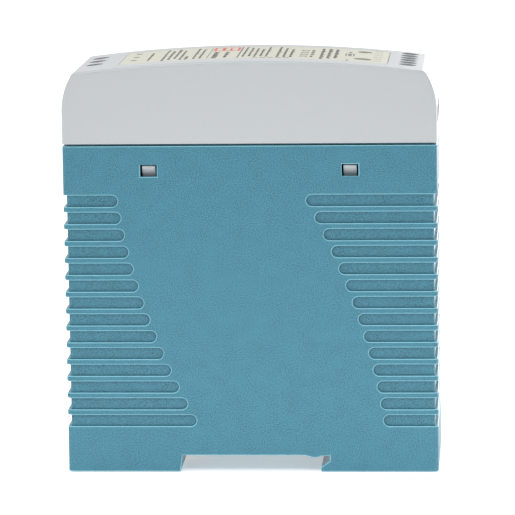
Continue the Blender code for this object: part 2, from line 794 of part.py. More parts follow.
def input_side():
    cream = material("fuse_plastic", (0.12, 0.12, 0.12), 0.4)
    paint(cylinder("input_fuse", (-35.4, COMPONENT_Y - 8.0, 64.3), 4.2, 8.0, "Y"), cream)
    blue = material("varistor_epoxy", (0.05, 0.20, 0.50), 0.5)
    paint(cylinder("surge_varistor", (-27.4, 9.7, 63.9), 5.0, 4.0, "X"), blue)
    green = material("thermistor_epoxy", (0.10, 0.25, 0.12), 0.6)
    paint(cylinder("inrush_thermistor", (-19.4, 9.7, 63.9), 5.0, 4.0, "X"), green)
    yellow = material("film_capacitor_box", (0.85, 0.65, 0.10), 0.5)
    on_board("x_capacitor", (-39.5, -31.0), (38.0, 56.0), 14.0, yellow)
    black = material("epoxy_black", (0.03, 0.03, 0.03), 0.5)
    on_board("bridge_rectifier", (-7.5, 7.5), (61.0, 64.6), 11.0, black)
    line_choke()
    can = capacitor_can("bulk_capacitor", -30.0, 21.5, 9.0, 30.0)
    paint(can, material("bulk_sleeve", (0.10, 0.10, 0.14), 0.4))


def ring_profile(inner, outer, height):
    half = height / 2
    return [(inner, -half), (inner, half), (outer, half), (outer, -half), (inner, -half)]


def line_choke():
    """A ring core with a winding over most of it, which leaves a gap at one side."""
    at = (-18.8, 8.2, 46.0)
    core = turned("line_choke_core", ring_profile(5.0, 9.0, 7.0), at, "Y", 24)
    paint(core, material("ferrite", (0.08, 0.08, 0.09), 0.6))
    winding = turned("line_choke_winding", ring_profile(3.4, 10.4, 10.0), at, "Y", 24)
    space = turned("choke_space_cutter", ring_profile(4.7, 9.3, 7.6), at, "Y", 24)
    x, y, z = at
    gap = box("choke_gap_cutter", (x - 2.2, y - 8.0, z - 14.0), (x + 2.2, y + 8.0, z))
    paint(cut(winding, space, gap), material("magnet_wire", (0.60, 0.28, 0.10), 0.4))


def window_frame(name, centre, half, depth_half, windows):
    """A block along Y with rectangular windows through it, given as (half size, offset) in XZ."""
    x, y, z = centre
    frame = box(
        name,
        (x - half[0], y - depth_half, z - half[1]),
        (x + half[0], y + depth_half, z + half[1]),
    )
    openings = [
        (
            (x + offset - size[0], y - depth_half - 1, z - size[1]),
            (x + offset + size[0], y + depth_half + 1, z + size[1]),
        )
        for size, offset in windows
    ]
    return cut(frame, boxes(name + "_windows", openings))


def transformer():
    """Two ferrite halves as one frame, and a bobbin and winding round its centre leg."""
    x, y, z = centre = (7.0, 4.6, 42.0)
    leg, window = 3.5, 2.9
    reach = leg + window
    core = window_frame(
        "transformer_core",
        centre,
        (13.0, 11.0),
        4.0,
        [((window, 6.5), -reach), ((window, 6.5), reach)],
    )
    paint(core, material("transformer_ferrite", (0.10, 0.10, 0.11), 0.6))
    flange_x, flange_y = leg + 2 * window - GAP, 9.2
    bobbin = boxes(
        "transformer_bobbin",
        [((x - flange_x, y - flange_y, z - 6.2), (x + flange_x, y + flange_y, z + 6.2))],
    )
    spool_x, spool_y = leg + 1.1, 5.1
    around = box(
        "bobbin_belt", (x - 20, y - 20, z - 5.4), (x + 20, y + 20, z + 5.4), centre
    )
    cut(around, box("bobbin_spool", (x - spool_x, y - spool_y, z - 8), (x + spool_x, y + spool_y, z + 8)))
    hole = box(
        "bobbin_hole", (x - leg - GAP, y - 4.3, z - 8), (x + leg + GAP, y + 4.3, z + 8)
    )
    paint(cut(bobbin, around, hole), material("bobbin_plastic", (0.05, 0.05, 0.05), 0.5))
    coil_x, coil_y = flange_x - 0.3, flange_y - 0.8
    winding = box(
        "transformer_winding",
        (x - coil_x, y - coil_y, z - 5.1),
        (x + coil_x, y + coil_y, z + 5.1),
    )
    inside = box(
        "winding_hole",
        (x - spool_x - GAP, y - spool_y - GAP, z - 8),
        (x + spool_x + GAP, y + spool_y + GAP, z + 8),
    )
    bevel(winding, 1.5, 2)
    paint(cut(winding, inside), material("winding_tape", (0.85, 0.70, 0.15), 0.5))


def heatsink(name, x, screw_name, device_name, device_x, aluminium, black, steel):
    """A bent plate, and a power device screwed flat on it."""
    low_z = 8.0
    outline = [(x[0], low_z), (x[1], low_z), (x[1], low_z + 2.0), (x[0] + 2.0, low_z + 2.0)]
    outline += [(x[0] + 2.0, low_z + 12.0), (x[0], low_z + 12.0)]
    plate = prism(name, outline, -14.0, COMPONENT_Y, "Y")
    hole_at = (device_x, -5.0)
    hole = cylinder(name + "_hole", (*hole_at, low_z - 1), 1.2, 6.0, segments=16)
    paint(cut(plate, hole), aluminium)
    seat = low_z + 2.0 + GAP
    device = box(device_name, (device_x - 5.0, -8.0, seat), (device_x + 5.0, 7.5, seat + 4.4))
    clear = cylinder(device_name + "_hole", (*hole_at, seat - 1), 1.9, 9.0, segments=16)
    paint(cut(device, clear), black)
    head = seat + 4.4 + GAP
    profile = [(0.0, 1.8), (2.2, 1.8), (2.8, 1.2), (2.8, 0.0), (0.9, 0.0), (0.9, -7.2), (0.0, -7.2)]
    screw = turned(screw_name, profile, (*hole_at, head), "Z", 16)
    paint(screw, steel)


def converter():
    aluminium = material("aluminium", (0.75, 0.75, 0.76), 0.35, 1.0)
    black = material("device_black", (0.03, 0.03, 0.03), 0.5)
    steel = material("machine_screw", (0.6, 0.6, 0.6), 0.35, 1.0)
    finish = (aluminium, black, steel)
    heatsink("primary_heatsink", (-14.0, 10.0), "transistor_screw", "switching_transistor", -3.0, *finish)
    heatsink("secondary_heatsink", (15.0, 38.0), "diode_screw", "output_diode", 23.0, *finish)
    transformer()
    blue = material("ceramic_blue", (0.10, 0.35, 0.60), 0.5)
    paint(cylinder("y_capacitor", (13.8, 10.2, 58.4), 4.0, 3.4, "Z"), blue)
    on_board("optocoupler", (22.2, 26.8), (43.0, 49.5), 3.5, black)
    on_board("control_chip", (21.8, 26.0), (33.0, 38.0), 1.6, black)


def output_side():
    sleeve = material("output_sleeve", (0.05, 0.12, 0.30), 0.4)
    for i, z in enumerate((26.0, 37.5), 1):
        paint(capacitor_can(f"output_capacitor_{i}", 33.6, z, 5.0, 20.0), sleeve)
    at = (33.6, COMPONENT_Y - 12.0, 49.5)
    drum = [(0.0, 12.0), (5.0, 12.0), (5.0, 10.4), (2.2, 10.4), (2.2, 1.6), (5.0, 1.6), (5.0, 0.0)]
    core = turned("output_choke_core", [*drum, (0.0, 0.0)], at, "Y", 20)
    paint(core, material("drum_ferrite", (0.10, 0.10, 0.11), 0.6))
    middle_at = (at[0], at[1] + 6.0, at[2])
    winding = turned("output_choke_winding", ring_profile(2.5, 4.8, 8.2), middle_at, "Y", 20)
    paint(winding, material("choke_wire", (0.65, 0.30, 0.12), 0.4))
    white = material("relay_case", (0.80, 0.80, 0.78), 0.4)
    on_board("dc_ok_relay", (20.5, 38.5), (57.0, 67.0), 10.0, white)


rear_case()
rail_latch()
latch_spring()
front_cover()
nameplate()
terminals()
boards()
front_controls()
input_side()
converter()
output_side()
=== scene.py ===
"""Looks of the DIN rail power supply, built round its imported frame.

Lengths are in millimetres, and the helpers turn them into metres. +X runs from the input terminals
to the output terminals, +Y across the width and +Z from the rail feet to the domed front.
"""

import math
import random

import bmesh
import bpy
from mathutils import Matrix, Vector


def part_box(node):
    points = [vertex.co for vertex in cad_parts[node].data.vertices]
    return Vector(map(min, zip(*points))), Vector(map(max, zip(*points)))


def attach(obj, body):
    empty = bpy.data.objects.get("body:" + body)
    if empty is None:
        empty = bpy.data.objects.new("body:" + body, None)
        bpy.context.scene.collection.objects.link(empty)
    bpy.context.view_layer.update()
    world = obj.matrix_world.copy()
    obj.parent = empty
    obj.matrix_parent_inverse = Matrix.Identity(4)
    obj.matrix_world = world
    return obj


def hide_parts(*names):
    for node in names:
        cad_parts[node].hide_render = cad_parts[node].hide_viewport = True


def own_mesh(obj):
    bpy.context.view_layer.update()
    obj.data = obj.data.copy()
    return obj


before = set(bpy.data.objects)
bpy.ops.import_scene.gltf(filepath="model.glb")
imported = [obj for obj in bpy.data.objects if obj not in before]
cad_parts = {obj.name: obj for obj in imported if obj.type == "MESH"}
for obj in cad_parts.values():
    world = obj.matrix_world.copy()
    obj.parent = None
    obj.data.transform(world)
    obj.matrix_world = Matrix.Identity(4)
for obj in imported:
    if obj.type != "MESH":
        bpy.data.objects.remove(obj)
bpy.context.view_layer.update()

MM = 0.001
BASE = "supply"
rng = random.Random(7)


def corners(node):
    """A node's lowest and highest corners, in millimetres."""
    low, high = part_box(node)
    return low / MM, high / MM


def extent(node):
    """A node's lowest corner, highest corner and middle, in millimetres."""
    low, high = corners(node)
    return low, high, (low + high) / 2


def centre(node):
    return extent(node)[2]


def sided(side, span):
    """A span along X, mirrored to the left when side is -1."""
    return sorted(side * edge for edge in span)


CASE_HIGH = corners("rear_case")[1]
HALF_X, HALF_Y = CASE_HIGH.x, CASE_HIGH.y
FRONT_Z = corners("front_cover")[1].z
INPUT_POLES = range(1, 4)
OUTPUT_POLES = range(1, 7)
INPUTS = [centre(f"input_screw_{i}") for i in INPUT_POLES]
OUTPUTS = [centre(f"output_screw_{i}") for i in OUTPUT_POLES]
BEYOND = 2.0


# ---- mesh helpers


def link(name, shape, smooth_angle=35):
    """Turns a bmesh in millimetres into an object in metres, at the origin."""
    bmesh.ops.recalc_face_normals(shape, faces=shape.faces)
    bmesh.ops.transform(shape, matrix=Matrix.Scale(MM, 4), verts=shape.verts)
    mesh = bpy.data.meshes.new(name)
    shape.to_mesh(mesh)
    shape.free()
    made = bpy.data.objects.new(name, mesh)
    bpy.context.scene.collection.objects.link(made)
    return shade(made, smooth_angle)


def shade(made, angle=35):
    made.data.shade_smooth()
    made.data.set_sharp_from_angle(angle=math.radians(angle))
    return made


def apply_modifiers(made):
    graph = bpy.context.evaluated_depsgraph_get()
    mesh = bpy.data.meshes.new_from_object(made.evaluated_get(graph))
    made.modifiers.clear()
    made.data = mesh
    return made


def combine(made, others, operation):
    """Applies a Boolean with each other object, which is then removed."""
    for other in others:
        modifier = made.modifiers.new("boolean", "BOOLEAN")
        modifier.operation = operation
        modifier.solver = "EXACT"
        modifier.object = other
    apply_modifiers(made)
    for other in others:
        bpy.data.objects.remove(other)
    return made


def cut(made, *others):
    return combine(made, others, "DIFFERENCE")


def join(made, *others):
    return combine(made, others, "UNION")


def soften(made, width, segments=2, angle=35, finishes=()):
    """Rounds every outward edge by a small radius. A second finish goes on the rounded edges."""
    made.modifiers.new("weld", "WELD").merge_threshold = 1e-6
    apply_modifiers(made)
    for finish in finishes:
        made.data.materials.append(finish)
    shape = bmesh.new()
    shape.from_mesh(made.data)
    weight = shape.edges.layers.float.new("bevel_weight_edge")
    for edge in shape.edges:
        if edge.is_manifold and edge.calc_face_angle_signed(0.0) > math.radians(angle):
            edge[weight] = 1.0
    shape.to_mesh(made.data)
    shape.free()
    bevel = made.modifiers.new("bevel", "BEVEL")
    bevel.width = width * MM
    bevel.segments = segments
    bevel.limit_method = "WEIGHT"
    bevel.use_clamp_overlap = False
    bevel.miter_outer = "MITER_ARC"
    bevel.material = len(finishes) - 1
    apply_modifiers(made)
    shade(made, 50)
    made.modifiers.new("normals", "WEIGHTED_NORMAL").keep_sharp = True
    return apply_modifiers(made)


def merge(name, pieces):
    """Joins separate objects into one mesh, without a Boolean."""
    shape = bmesh.new()
    for piece in pieces:
        piece.data.transform(piece.matrix_world)
        shape.from_mesh(piece.data)
        bpy.data.objects.remove(piece)
    mesh = bpy.data.meshes.new(name)
    shape.to_mesh(mesh)
    shape.free()
    made = bpy.data.objects.new(name, mesh)
    bpy.context.scene.collection.objects.link(made)
    return made


def boxes(name, spans):
    shape = bmesh.new()
    for low, high in spans:
        low, high = Vector(low), Vector(high)
        matrix = Matrix.Translation((low + high) / 2) @ Matrix.Diagonal((*(high - low), 1.0))
        bmesh.ops.create_cube(shape, size=1.0, matrix=matrix)
    return link(name, shape)


def box(name, low, high):
    return boxes(name, [(low, high)])


AXIS_TURN = {
    "X": Matrix.Rotation(math.radians(90), 4, "Y"),
    "Y": Matrix.Rotation(math.radians(-90), 4, "X"),
    "Z": Matrix.Identity(4),
}
PRISM_TURN = {
    "X": Matrix(((0, 0, 1, 0), (1, 0, 0, 0), (0, 1, 0, 0), (0, 0, 0, 1))),
    "Y": Matrix(((1, 0, 0, 0), (0, 0, 1, 0), (0, 1, 0, 0), (0, 0, 0, 1))),
    "Z": Matrix.Identity(4),
}


def prism(name, outline, low, high, axis):
    """An outline extruded along axis. It lies in YZ for axis X, in XZ for Y and in XY for Z."""
    return prisms(name, [outline], low, high, axis)


def prisms(name, outlines, low, high, axis):
    shape = bmesh.new()
    for outline in outlines:
        lower = [shape.verts.new((u, v, low)) for u, v in outline]
        upper = [shape.verts.new((u, v, high)) for u, v in outline]
        shape.faces.new(lower)
        shape.faces.new(upper)
        for i in range(len(outline)):
            j = (i + 1) % len(outline)
            shape.faces.new((lower[i], lower[j], upper[j], upper[i]))
    bmesh.ops.transform(shape, matrix=PRISM_TURN[axis], verts=shape.verts)
    return link(name, shape)


def skin(shape, rows):
    """Faces between rows of vertices, each a closed ring, with both ends capped."""
    for lower, upper in zip(rows, rows[1:]):
        for i in range(len(lower)):
            j = (i + 1) % len(lower)
            shape.faces.new((lower[i], lower[j], upper[j], upper[i]))
    shape.faces.new(rows[0])
    shape.faces.new(reversed(rows[-1]))


def lathe(name, profile, at, axis="Z", segments=32):
    """A profile of (radius, height) points turned about axis, as one closed surface."""
    shape = bmesh.new()
    rings = []
    for radius, height in profile:
        if radius < 1e-6:
            rings.append([shape.verts.new((0.0, 0.0, height))])
            continue
        turns = [2 * math.pi * i / segments for i in range(segments)]
        ring = [(radius * math.cos(t), radius * math.sin(t), height) for t in turns]
        rings.append([shape.verts.new(point) for point in ring])
    for lower, upper in zip(rings, rings[1:]):
        for i in range(segments):
            j = (i + 1) % segments
            ring = [lower[i % len(lower)], lower[j % len(lower)], upper[j % len(upper)], upper[i % len(upper)]]
            face = list(dict.fromkeys(ring))
            if len(face) > 2:
                shape.faces.new(face)
    if len(rings[0]) > 1 and profile[0] == profile[-1]:
        bmesh.ops.remove_doubles(shape, verts=shape.verts, dist=1e-5)
    matrix = Matrix.Translation(at) @ AXIS_TURN[axis]
    bmesh.ops.transform(shape, matrix=matrix, verts=shape.verts)
    return link(name, shape)


def cylinders(name, stages, axis="Z", segments=32):
    """A cylinder for each (base centre, radius, length) along axis."""
    step = {"X": Vector((1, 0, 0)), "Y": Vector((0, 1, 0)), "Z": Vector((0, 0, 1))}[axis]
    shape = bmesh.new()
    for base, radius, length in stages:
        matrix = Matrix.Translation(Vector(base) + step * (length / 2)) @ AXIS_TURN[axis]
        bmesh.ops.create_cone(
            shape, cap_ends=True, segments=segments, radius1=radius, radius2=radius, depth=length, matrix=matrix
        )
    return link(name, shape)


def tube(name, path, radius, sides=8, closed=False):
    """A round wire along a path of points in millimetres."""
    curve = bpy.data.curves.new(name, "CURVE")
    curve.dimensions = "3D"
    curve.bevel_depth = radius * MM
    curve.bevel_resolution = (sides - 4) // 2
    curve.use_fill_caps = not closed
    spline = curve.splines.new("POLY")
    spline.points.add(len(path) - 1)
    for point, place in zip(spline.points, path):
        point.co = (*(Vector(place) * MM), 1.0)
    spline.use_cyclic_u = closed
    made = bpy.data.objects.new(name, curve)
    bpy.context.scene.collection.objects.link(made)
    bpy.context.view_layer.update()
    mesh = bpy.data.meshes.new_from_object(made.evaluated_get(bpy.context.evaluated_depsgraph_get()))
    bpy.data.objects.remove(made)
    shape = bmesh.new()
    shape.from_mesh(mesh)
    bmesh.ops.remove_doubles(shape, verts=shape.verts, dist=1e-7)
    bmesh.ops.transform(shape, matrix=Matrix.Scale(1 / MM, 4), verts=shape.verts)
    return link(name, shape, 60)


def arc(middle, radius, start, end, steps):
    """Points along an arc, with its angles in degrees."""
    turns = [math.radians(start + (end - start) * i / steps) for i in range(steps + 1)]
    return [(middle[0] + radius * math.cos(t), middle[1] + radius * math.sin(t)) for t in turns]


def rounded_rectangle(half_x, half_y, radius, steps=6, middle=(0.0, 0.0)):
    points = []
    for quarter, (x, y) in enumerate(((1, 1), (-1, 1), (-1, -1), (1, -1))):
        corner = (middle[0] + x * (half_x - radius), middle[1] + y * (half_y - radius))
        points += arc(corner, radius, 90 * quarter, 90 * quarter + 90, steps)
    return points


def stadium(low, high, steps=8):
    """A slot outline with round ends, its long side along the first axis."""
    radius, middle = (high[1] - low[1]) / 2, (high[1] + low[1]) / 2
    right = arc((high[0] - radius, middle), radius, -90, 90, steps)
    return right + arc((low[0] + radius, middle), radius, 90, 270, steps)


def show(made, finish, node=None, body=BASE):
    """Gives a finished piece its material, its body and the node that it stands for."""
    if made.data.materials.find(FINISH[finish].name) < 0:
        made.data.materials.clear()
        made.data.materials.append(FINISH[finish])
    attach(made, body)
    if node:
        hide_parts(node)
    return made


# ---- materials


class Nodes:
    """A short way to write a node tree."""

    def __init__(self, name):
        self.material = bpy.data.materials.new(name)
        self.material.use_nodes = True
        self.tree = self.material.node_tree
        self.shader = self.tree.nodes["Principled BSDF"]
        self.place = self.add("ShaderNodeTexCoord").outputs["Object"]

    def add(self, kind, **settings):
        node = self.tree.nodes.new(kind)
        for key, value in settings.items():
            setattr(node, key, value)
        return node

    def wire(self, source, target):
        self.tree.links.new(source, target)

    def noise(self, size, detail=3.0, rough=0.55, stretch=(1, 1, 1)):
        """Noise whose features are about size millimetres wide."""
        mapping = self.add("ShaderNodeMapping")
        mapping.inputs["Scale"].default_value = [s / (size * MM) for s in stretch]
        self.wire(self.place, mapping.inputs["Vector"])
        node = self.add("ShaderNodeTexNoise")
        node.inputs["Scale"].default_value = 1.0
        node.inputs["Detail"].default_value = detail
        node.inputs["Roughness"].default_value = rough
        self.wire(mapping.outputs["Vector"], node.inputs["Vector"])
        return node.outputs["Fac"]

    def remap(self, value, low, high, start=0.3, end=0.7):
        node = self.add("ShaderNodeMapRange")
        for socket, number in zip(("From Min", "From Max", "To Min", "To Max"), (start, end, low, high)):
            node.inputs[socket].default_value = number
        self.wire(value, node.inputs["Value"])
        return node.outputs["Result"]

    def blend(self, factor, first, second):
        """A colour between two, each a colour or a socket."""
        node = self.add("ShaderNodeMix", data_type="RGBA")
        self.wire(factor, node.inputs["Factor"])
        for socket, colour in ((node.inputs[6], first), (node.inputs[7], second)):
            if isinstance(colour, tuple):
                socket.default_value = (*colour, 1.0)
            else:
                self.wire(colour, socket)
        return node.outputs[2]

    def colour(self, socket):
        self.wire(socket, self.shader.inputs["Base Color"])

    def roughness(self, value, low, high):
        self.wire(self.remap(value, low, high), self.shader.inputs["Roughness"])

    def bump(self, height, depth, strength=1.0, under=None):
        """Relief of about depth millimetres."""
        node = self.add("ShaderNodeBump")
        node.inputs["Distance"].default_value = depth * MM
        node.inputs["Strength"].default_value = strength
        self.wire(height, node.inputs["Height"])
        if under is not None:
            self.wire(under, node.inputs["Normal"])
        self.wire(node.outputs["Normal"], self.shader.inputs["Normal"])
        return node.outputs["Normal"]


def tint(colour, factor):
    return tuple(min(1.0, c * factor) for c in colour)


def moulded(name, colour, rough, grain=0.5, depth=0.02, mottle=0.06, coat=0.0):
    """Moulded plastic: a fine eroded grain, and slow drifts of tone through the shell."""
    nodes = Nodes(name)
    fine, slow = nodes.noise(grain, 4.0, 0.7), nodes.noise(grain * 16, 2.0)
    speck = nodes.blend(nodes.remap(fine, 0.0, 1.0), tint(colour, 1 - mottle), tint(colour, 1 + mottle))
    drift = nodes.blend(nodes.remap(slow, 0.0, 0.25), speck, tint(colour, 1 + mottle / 2))
    nodes.colour(drift)
    nodes.roughness(fine, rough - 0.06, rough + 0.06)
    nodes.bump(fine, depth)
    nodes.shader.inputs["Coat Weight"].default_value = coat
    return nodes.material


def metal(name, colour, rough, brush=(1, 1, 1), size=0.4, depth=0.004):
    """Bare or plated metal: drawn or stamped streaks, and a patchy oxide tone."""
    nodes = Nodes(name)
    nodes.shader.inputs["Metallic"].default_value = 1.0
    streak, patch = nodes.noise(size, 5.0, 0.6, brush), nodes.noise(size * 8, 3.0)
    tone = nodes.blend(nodes.remap(patch, 0.0, 1.0), tint(colour, 0.86), tint(colour, 1.06))
    nodes.colour(nodes.blend(nodes.remap(streak, 0.0, 0.35), tone, tint(colour, 1.12)))
    nodes.roughness(streak, rough - 0.08, rough + 0.1)
    nodes.bump(streak, depth)
    return nodes.material


def laminate(name, turn):
    """Glass-epoxy board: green mask over a faint weave, with copper runs and pours raised beneath it."""
    nodes = Nodes(name)
    runs = None
    for width, height, gap in ((7.3, 2.1, 0.22), (19.0, 5.7, 0.3)):
        mapping = nodes.add("ShaderNodeMapping")
        mapping.inputs["Rotation"].default_value = turn
        mapping.inputs["Scale"].default_value = (1 / MM,) * 3
        nodes.wire(nodes.place, mapping.inputs["Vector"])
        brick = nodes.add("ShaderNodeTexBrick")
        sizes = (("Scale", 1.0), ("Brick Width", width), ("Row Height", height), ("Mortar Size", gap))
        for socket, number in (*sizes, ("Mortar Smooth", 0.1), ("Bias", 0.0)):
            brick.inputs[socket].default_value = number
        nodes.wire(mapping.outputs["Vector"], brick.inputs["Vector"])
        if runs is None:
            runs = brick.outputs["Fac"]
        else:
            both = nodes.add("ShaderNodeMath", operation="MAXIMUM")
            nodes.wire(runs, both.inputs[0])
            nodes.wire(brick.outputs["Fac"], both.inputs[1])
            runs = both.outputs["Value"]
    weave = nodes.noise(0.5, 2.0, 0.5)
    mask = nodes.blend(nodes.remap(weave, 0.0, 1.0), (0.024, 0.15, 0.055), (0.03, 0.18, 0.065))
    nodes.colour(nodes.blend(runs, mask, (0.012, 0.075, 0.028)))
    nodes.roughness(weave, 0.28, 0.42)
    nodes.bump(runs, -0.035)
    nodes.shader.inputs["Coat Weight"].default_value = 0.3
    return nodes.material


def film():
    """Clear insulating film, faintly milky, with handling creases."""
    nodes = Nodes("insulating_film")
    nodes.shader.inputs["Transmission Weight"].default_value = 0.7
    crease, haze = nodes.noise(7.0, 3.0), nodes.noise(1.5, 2.0)
    nodes.colour(nodes.blend(nodes.remap(haze, 0.0, 1.0), (0.82, 0.85, 0.88), (0.92, 0.94, 0.95)))
    nodes.roughness(haze, 0.18, 0.32)
    nodes.bump(crease, 0.05)
    return nodes.material


def lens():
    """Tinted clear plastic with faint flow lines."""
    nodes = Nodes("lens_plastic")
    nodes.shader.inputs["Transmission Weight"].default_value = 0.85
    nodes.shader.inputs["IOR"].default_value = 1.49
    flow = nodes.noise(0.8, 2.0, 0.5, (1, 1, 0.2))
    nodes.colour(nodes.blend(nodes.remap(flow, 0.0, 1.0), (0.42, 0.82, 0.45), (0.60, 0.92, 0.60)))
    nodes.roughness(flow, 0.08, 0.16)
    nodes.bump(flow, 0.003)
    return nodes.material


def tape(name, colour):
    """Wound polyester tape: glossy, with the edges of its turns showing as rings."""
    nodes = Nodes(name)
    turns, dirt = nodes.noise(1.2, 1.0, 0.4, (0.1, 0.1, 1)), nodes.noise(3.0, 3.0)
    layer = nodes.remap(turns, 0.0, 1.0, 0.45, 0.55)
    nodes.colour(nodes.blend(layer, tint(colour, 0.86), tint(colour, 1.05)))
    nodes.roughness(dirt, 0.16, 0.3)
    nodes.bump(layer, 0.03)
    return nodes.material


def ferrite(name):
    """Ground ferrite: dark, dry and finely pitted."""
    nodes = Nodes(name)
    pits, patch = nodes.noise(0.25, 5.0, 0.75), nodes.noise(4.0, 2.0)
    tone = nodes.blend(nodes.remap(patch, 0.0, 1.0), (0.035, 0.035, 0.04), (0.06, 0.06, 0.065))
    nodes.colour(nodes.blend(nodes.remap(pits, 0.0, 0.4), tone, (0.10, 0.10, 0.11)))
    nodes.roughness(pits, 0.55, 0.75)
    nodes.bump(pits, 0.012)
    return nodes.material


def paper_print(name, colour):
    """Screen-printed ink, a little uneven in cover."""
    nodes = Nodes(name)
    cover = nodes.noise(0.35, 3.0, 0.6)
    nodes.colour(nodes.blend(nodes.remap(cover, 0.0, 1.0), colour, tint(colour, 1.5)))
    nodes.roughness(cover, 0.4, 0.6)
    nodes.bump(cover, 0.002)
    return nodes.material


TEAL = (0.043, 0.190, 0.262)
GREY = (0.485, 0.510, 0.525)
FINISH = {
    "teal": moulded("teal_plastic", TEAL, 0.33, 0.25, 0.02, 0.85),
    # A lighter teal for the rounded edges: a painted highlight standing in for the light the lips and fillets
    # catch.
    "teal_edge": moulded("teal_edge_painted_highlight", (0.19, 0.48, 0.58), 0.3, 0.42, 0.004, 0.05),
    "grey": moulded("grey_plastic", GREY, 0.34, 2.2, 0.0012, 0.008),
    "label": moulded("label_stock", (0.58, 0.575, 0.475), 0.42, 1.2, 0.003, 0.02),
    "black": moulded("black_plastic", (0.025, 0.026, 0.028), 0.42, 0.3, 0.008, 0.15),
    "terminal": moulded("terminal_plastic", (0.045, 0.05, 0.055), 0.45, 0.35, 0.01, 0.12),
    "blue": moulded("trimmer_plastic", (0.03, 0.13, 0.50), 0.35, 0.4, 0.004, 0.06),
    "white": moulded("white_plastic", (0.78, 0.77, 0.72), 0.4, 0.5, 0.005, 0.02),
    "yellow": moulded("film_capacitor_case", (0.72, 0.46, 0.04), 0.32, 0.5, 0.006, 0.05, 0.2),
    "blue_epoxy": moulded("blue_epoxy", (0.03, 0.16, 0.42), 0.25, 0.9, 0.03, 0.08, 0.4),
    "green_epoxy": moulded("green_epoxy", (0.04, 0.14, 0.06), 0.4, 0.7, 0.03, 0.1),
    "sleeve": moulded("capacitor_sleeve", (0.035, 0.05, 0.11), 0.28, 0.8, 0.004, 0.05, 0.3),
    "stripe": moulded("sleeve_stripe", (0.55, 0.56, 0.60), 0.32, 0.8, 0.004, 0.04),
    "rubber": moulded("bung_rubber", (0.03, 0.03, 0.03), 0.75, 0.4, 0.01, 0.1),
    "board": laminate("main_laminate", (math.radians(-90), 0.0, 0.0)),
    "front_board": laminate("front_laminate", (0.0, 0.0, 0.0)),
    "film": film(),
    "lens": lens(),
    "tape": tape("winding_tape", (0.80, 0.55, 0.06)),
    "ferrite": ferrite("ferrite_core"),
    "steel": metal("zinc_plated_steel", (0.66, 0.66, 0.63), 0.3),
    "latch": metal("passivated_steel", (0.52, 0.45, 0.36), 0.38, (0.2, 1, 1), 0.5, 0.006),
    "spring": metal("spring_wire", (0.60, 0.60, 0.60), 0.28, (1, 1, 1), 0.2, 0.002),
    "brass": metal("nickelled_brass", (0.72, 0.66, 0.50), 0.3, (0.3, 1, 1)),
    "tin": metal("tinned_copper", (0.74, 0.73, 0.70), 0.32),
    "solder": metal("solder", (0.72, 0.72, 0.73), 0.25, (1, 1, 1), 0.6),
    "aluminium": metal("rolled_aluminium", (0.76, 0.77, 0.78), 0.34, (1, 0.08, 1), 0.3, 0.005),
    "wire": metal("enamelled_copper", (0.62, 0.24, 0.08), 0.25, (1, 1, 1), 0.5, 0.002),
    "ink": paper_print("black_ink", (0.07, 0.07, 0.068)),
    "red_ink": paper_print("red_ink", (0.55, 0.05, 0.04)),
}


# ---- rear case

CASE_WALL = 1.8
CASE_CORNER_R = 1.0
CASE_RIM_Z = 79.7
CASE_FLOOR_Z = 6.0
SHELF_Z = 80.4
TONGUE_INSET = 1.0
GROOVES = 14
GROOVE_OPENING = 2.8
GROOVE_PITCH = 4.138
GROOVE_LOW_Z = 11.2
GROOVE_DEPTH = 0.8
VENT_HEIGHT = 1.8
VENT_SPAN = (1.5, 12.8)
VENT_FIRST = 2
LIP_R = 0.2
SHORTEST_GROOVE, GROOVE_STEP, GROOVE_SQUARE = 13.2, 0.62, 0.06
INNER_X, INNER_Y = HALF_X - CASE_WALL, HALF_Y - CASE_WALL
GUIDE_X, GUIDE_LOW_Y, GUIDE_HIGH_Y = 40.0, -14.0, 13.4
GUIDE_SLOT_X, GUIDE_SLOT_Y = (39.0, 41.4), (14.8, 17.2)
RECESS_Z, HOOK_X, HOOK_TIP_X = 4.0, 18.7, 16.5
CHANNEL_END_X = -16.8
SPRING_POCKET = ((-39.0, -2.6, 2.9), (-26.4, 2.6, 4.65))
SPRING_POST = ((-38.4, -1.9, 0.9), (-36.6, 1.9, 5.4))
SNAP_X = 24.2
WINDOW_HALF_X, WINDOW_Z = 2.0, (72.25, 75.15)


def groove_outline(side, index):
    """A grip groove with a round inner end. Grooves lengthen by a square law, away from one corner."""
    rank = GROOVES - 1 - index if side < 0 else index
    length = SHORTEST_GROOVE + GROOVE_STEP * rank + GROOVE_SQUARE * rank * rank
    radius = GROOVE_OPENING / 2
    z = GROOVE_LOW_Z + radius + index * GROOVE_PITCH
    turn = 90 if side > 0 else -90
    end = arc((side * (HALF_X - length + radius), z), radius, turn, turn + 180, 16)
    beyond = side * (HALF_X + BEYOND)
    return [(beyond, end[-1][1]), (beyond, end[0][1]), *end]


def groove_cutters():
    outlines = [groove_outline(side, index) for side in (-1, 1) for index in range(GROOVES)]
    grooves = prisms("grooves", outlines, -HALF_Y - BEYOND, HALF_Y + BEYOND, "Y")
    floor = rounded_rectangle(HALF_X - GROOVE_DEPTH, HALF_Y - GROOVE_DEPTH, 0.6, 5)
    return cut(grooves, prism("groove_floor", floor, -BEYOND, FRONT_Z, "Z"))


def vent_cutters():
    slots = []
    for index in range(VENT_FIRST, GROOVES - VENT_FIRST):
        z = GROOVE_LOW_Z + GROOVE_OPENING / 2 + index * GROOVE_PITCH
        low, high = z - VENT_HEIGHT / 2, z + VENT_HEIGHT / 2
        slots.append(stadium((VENT_SPAN[0], low), (VENT_SPAN[1], high)))
        slots.append(stadium((-VENT_SPAN[1], low), (-VENT_SPAN[0], high)))
    inner, outer = INNER_X - 1.0, HALF_X + BEYOND
    return prisms("vents_right", slots, inner, outer, "X"), prisms("vents_left", slots, -outer, -inner, "X")


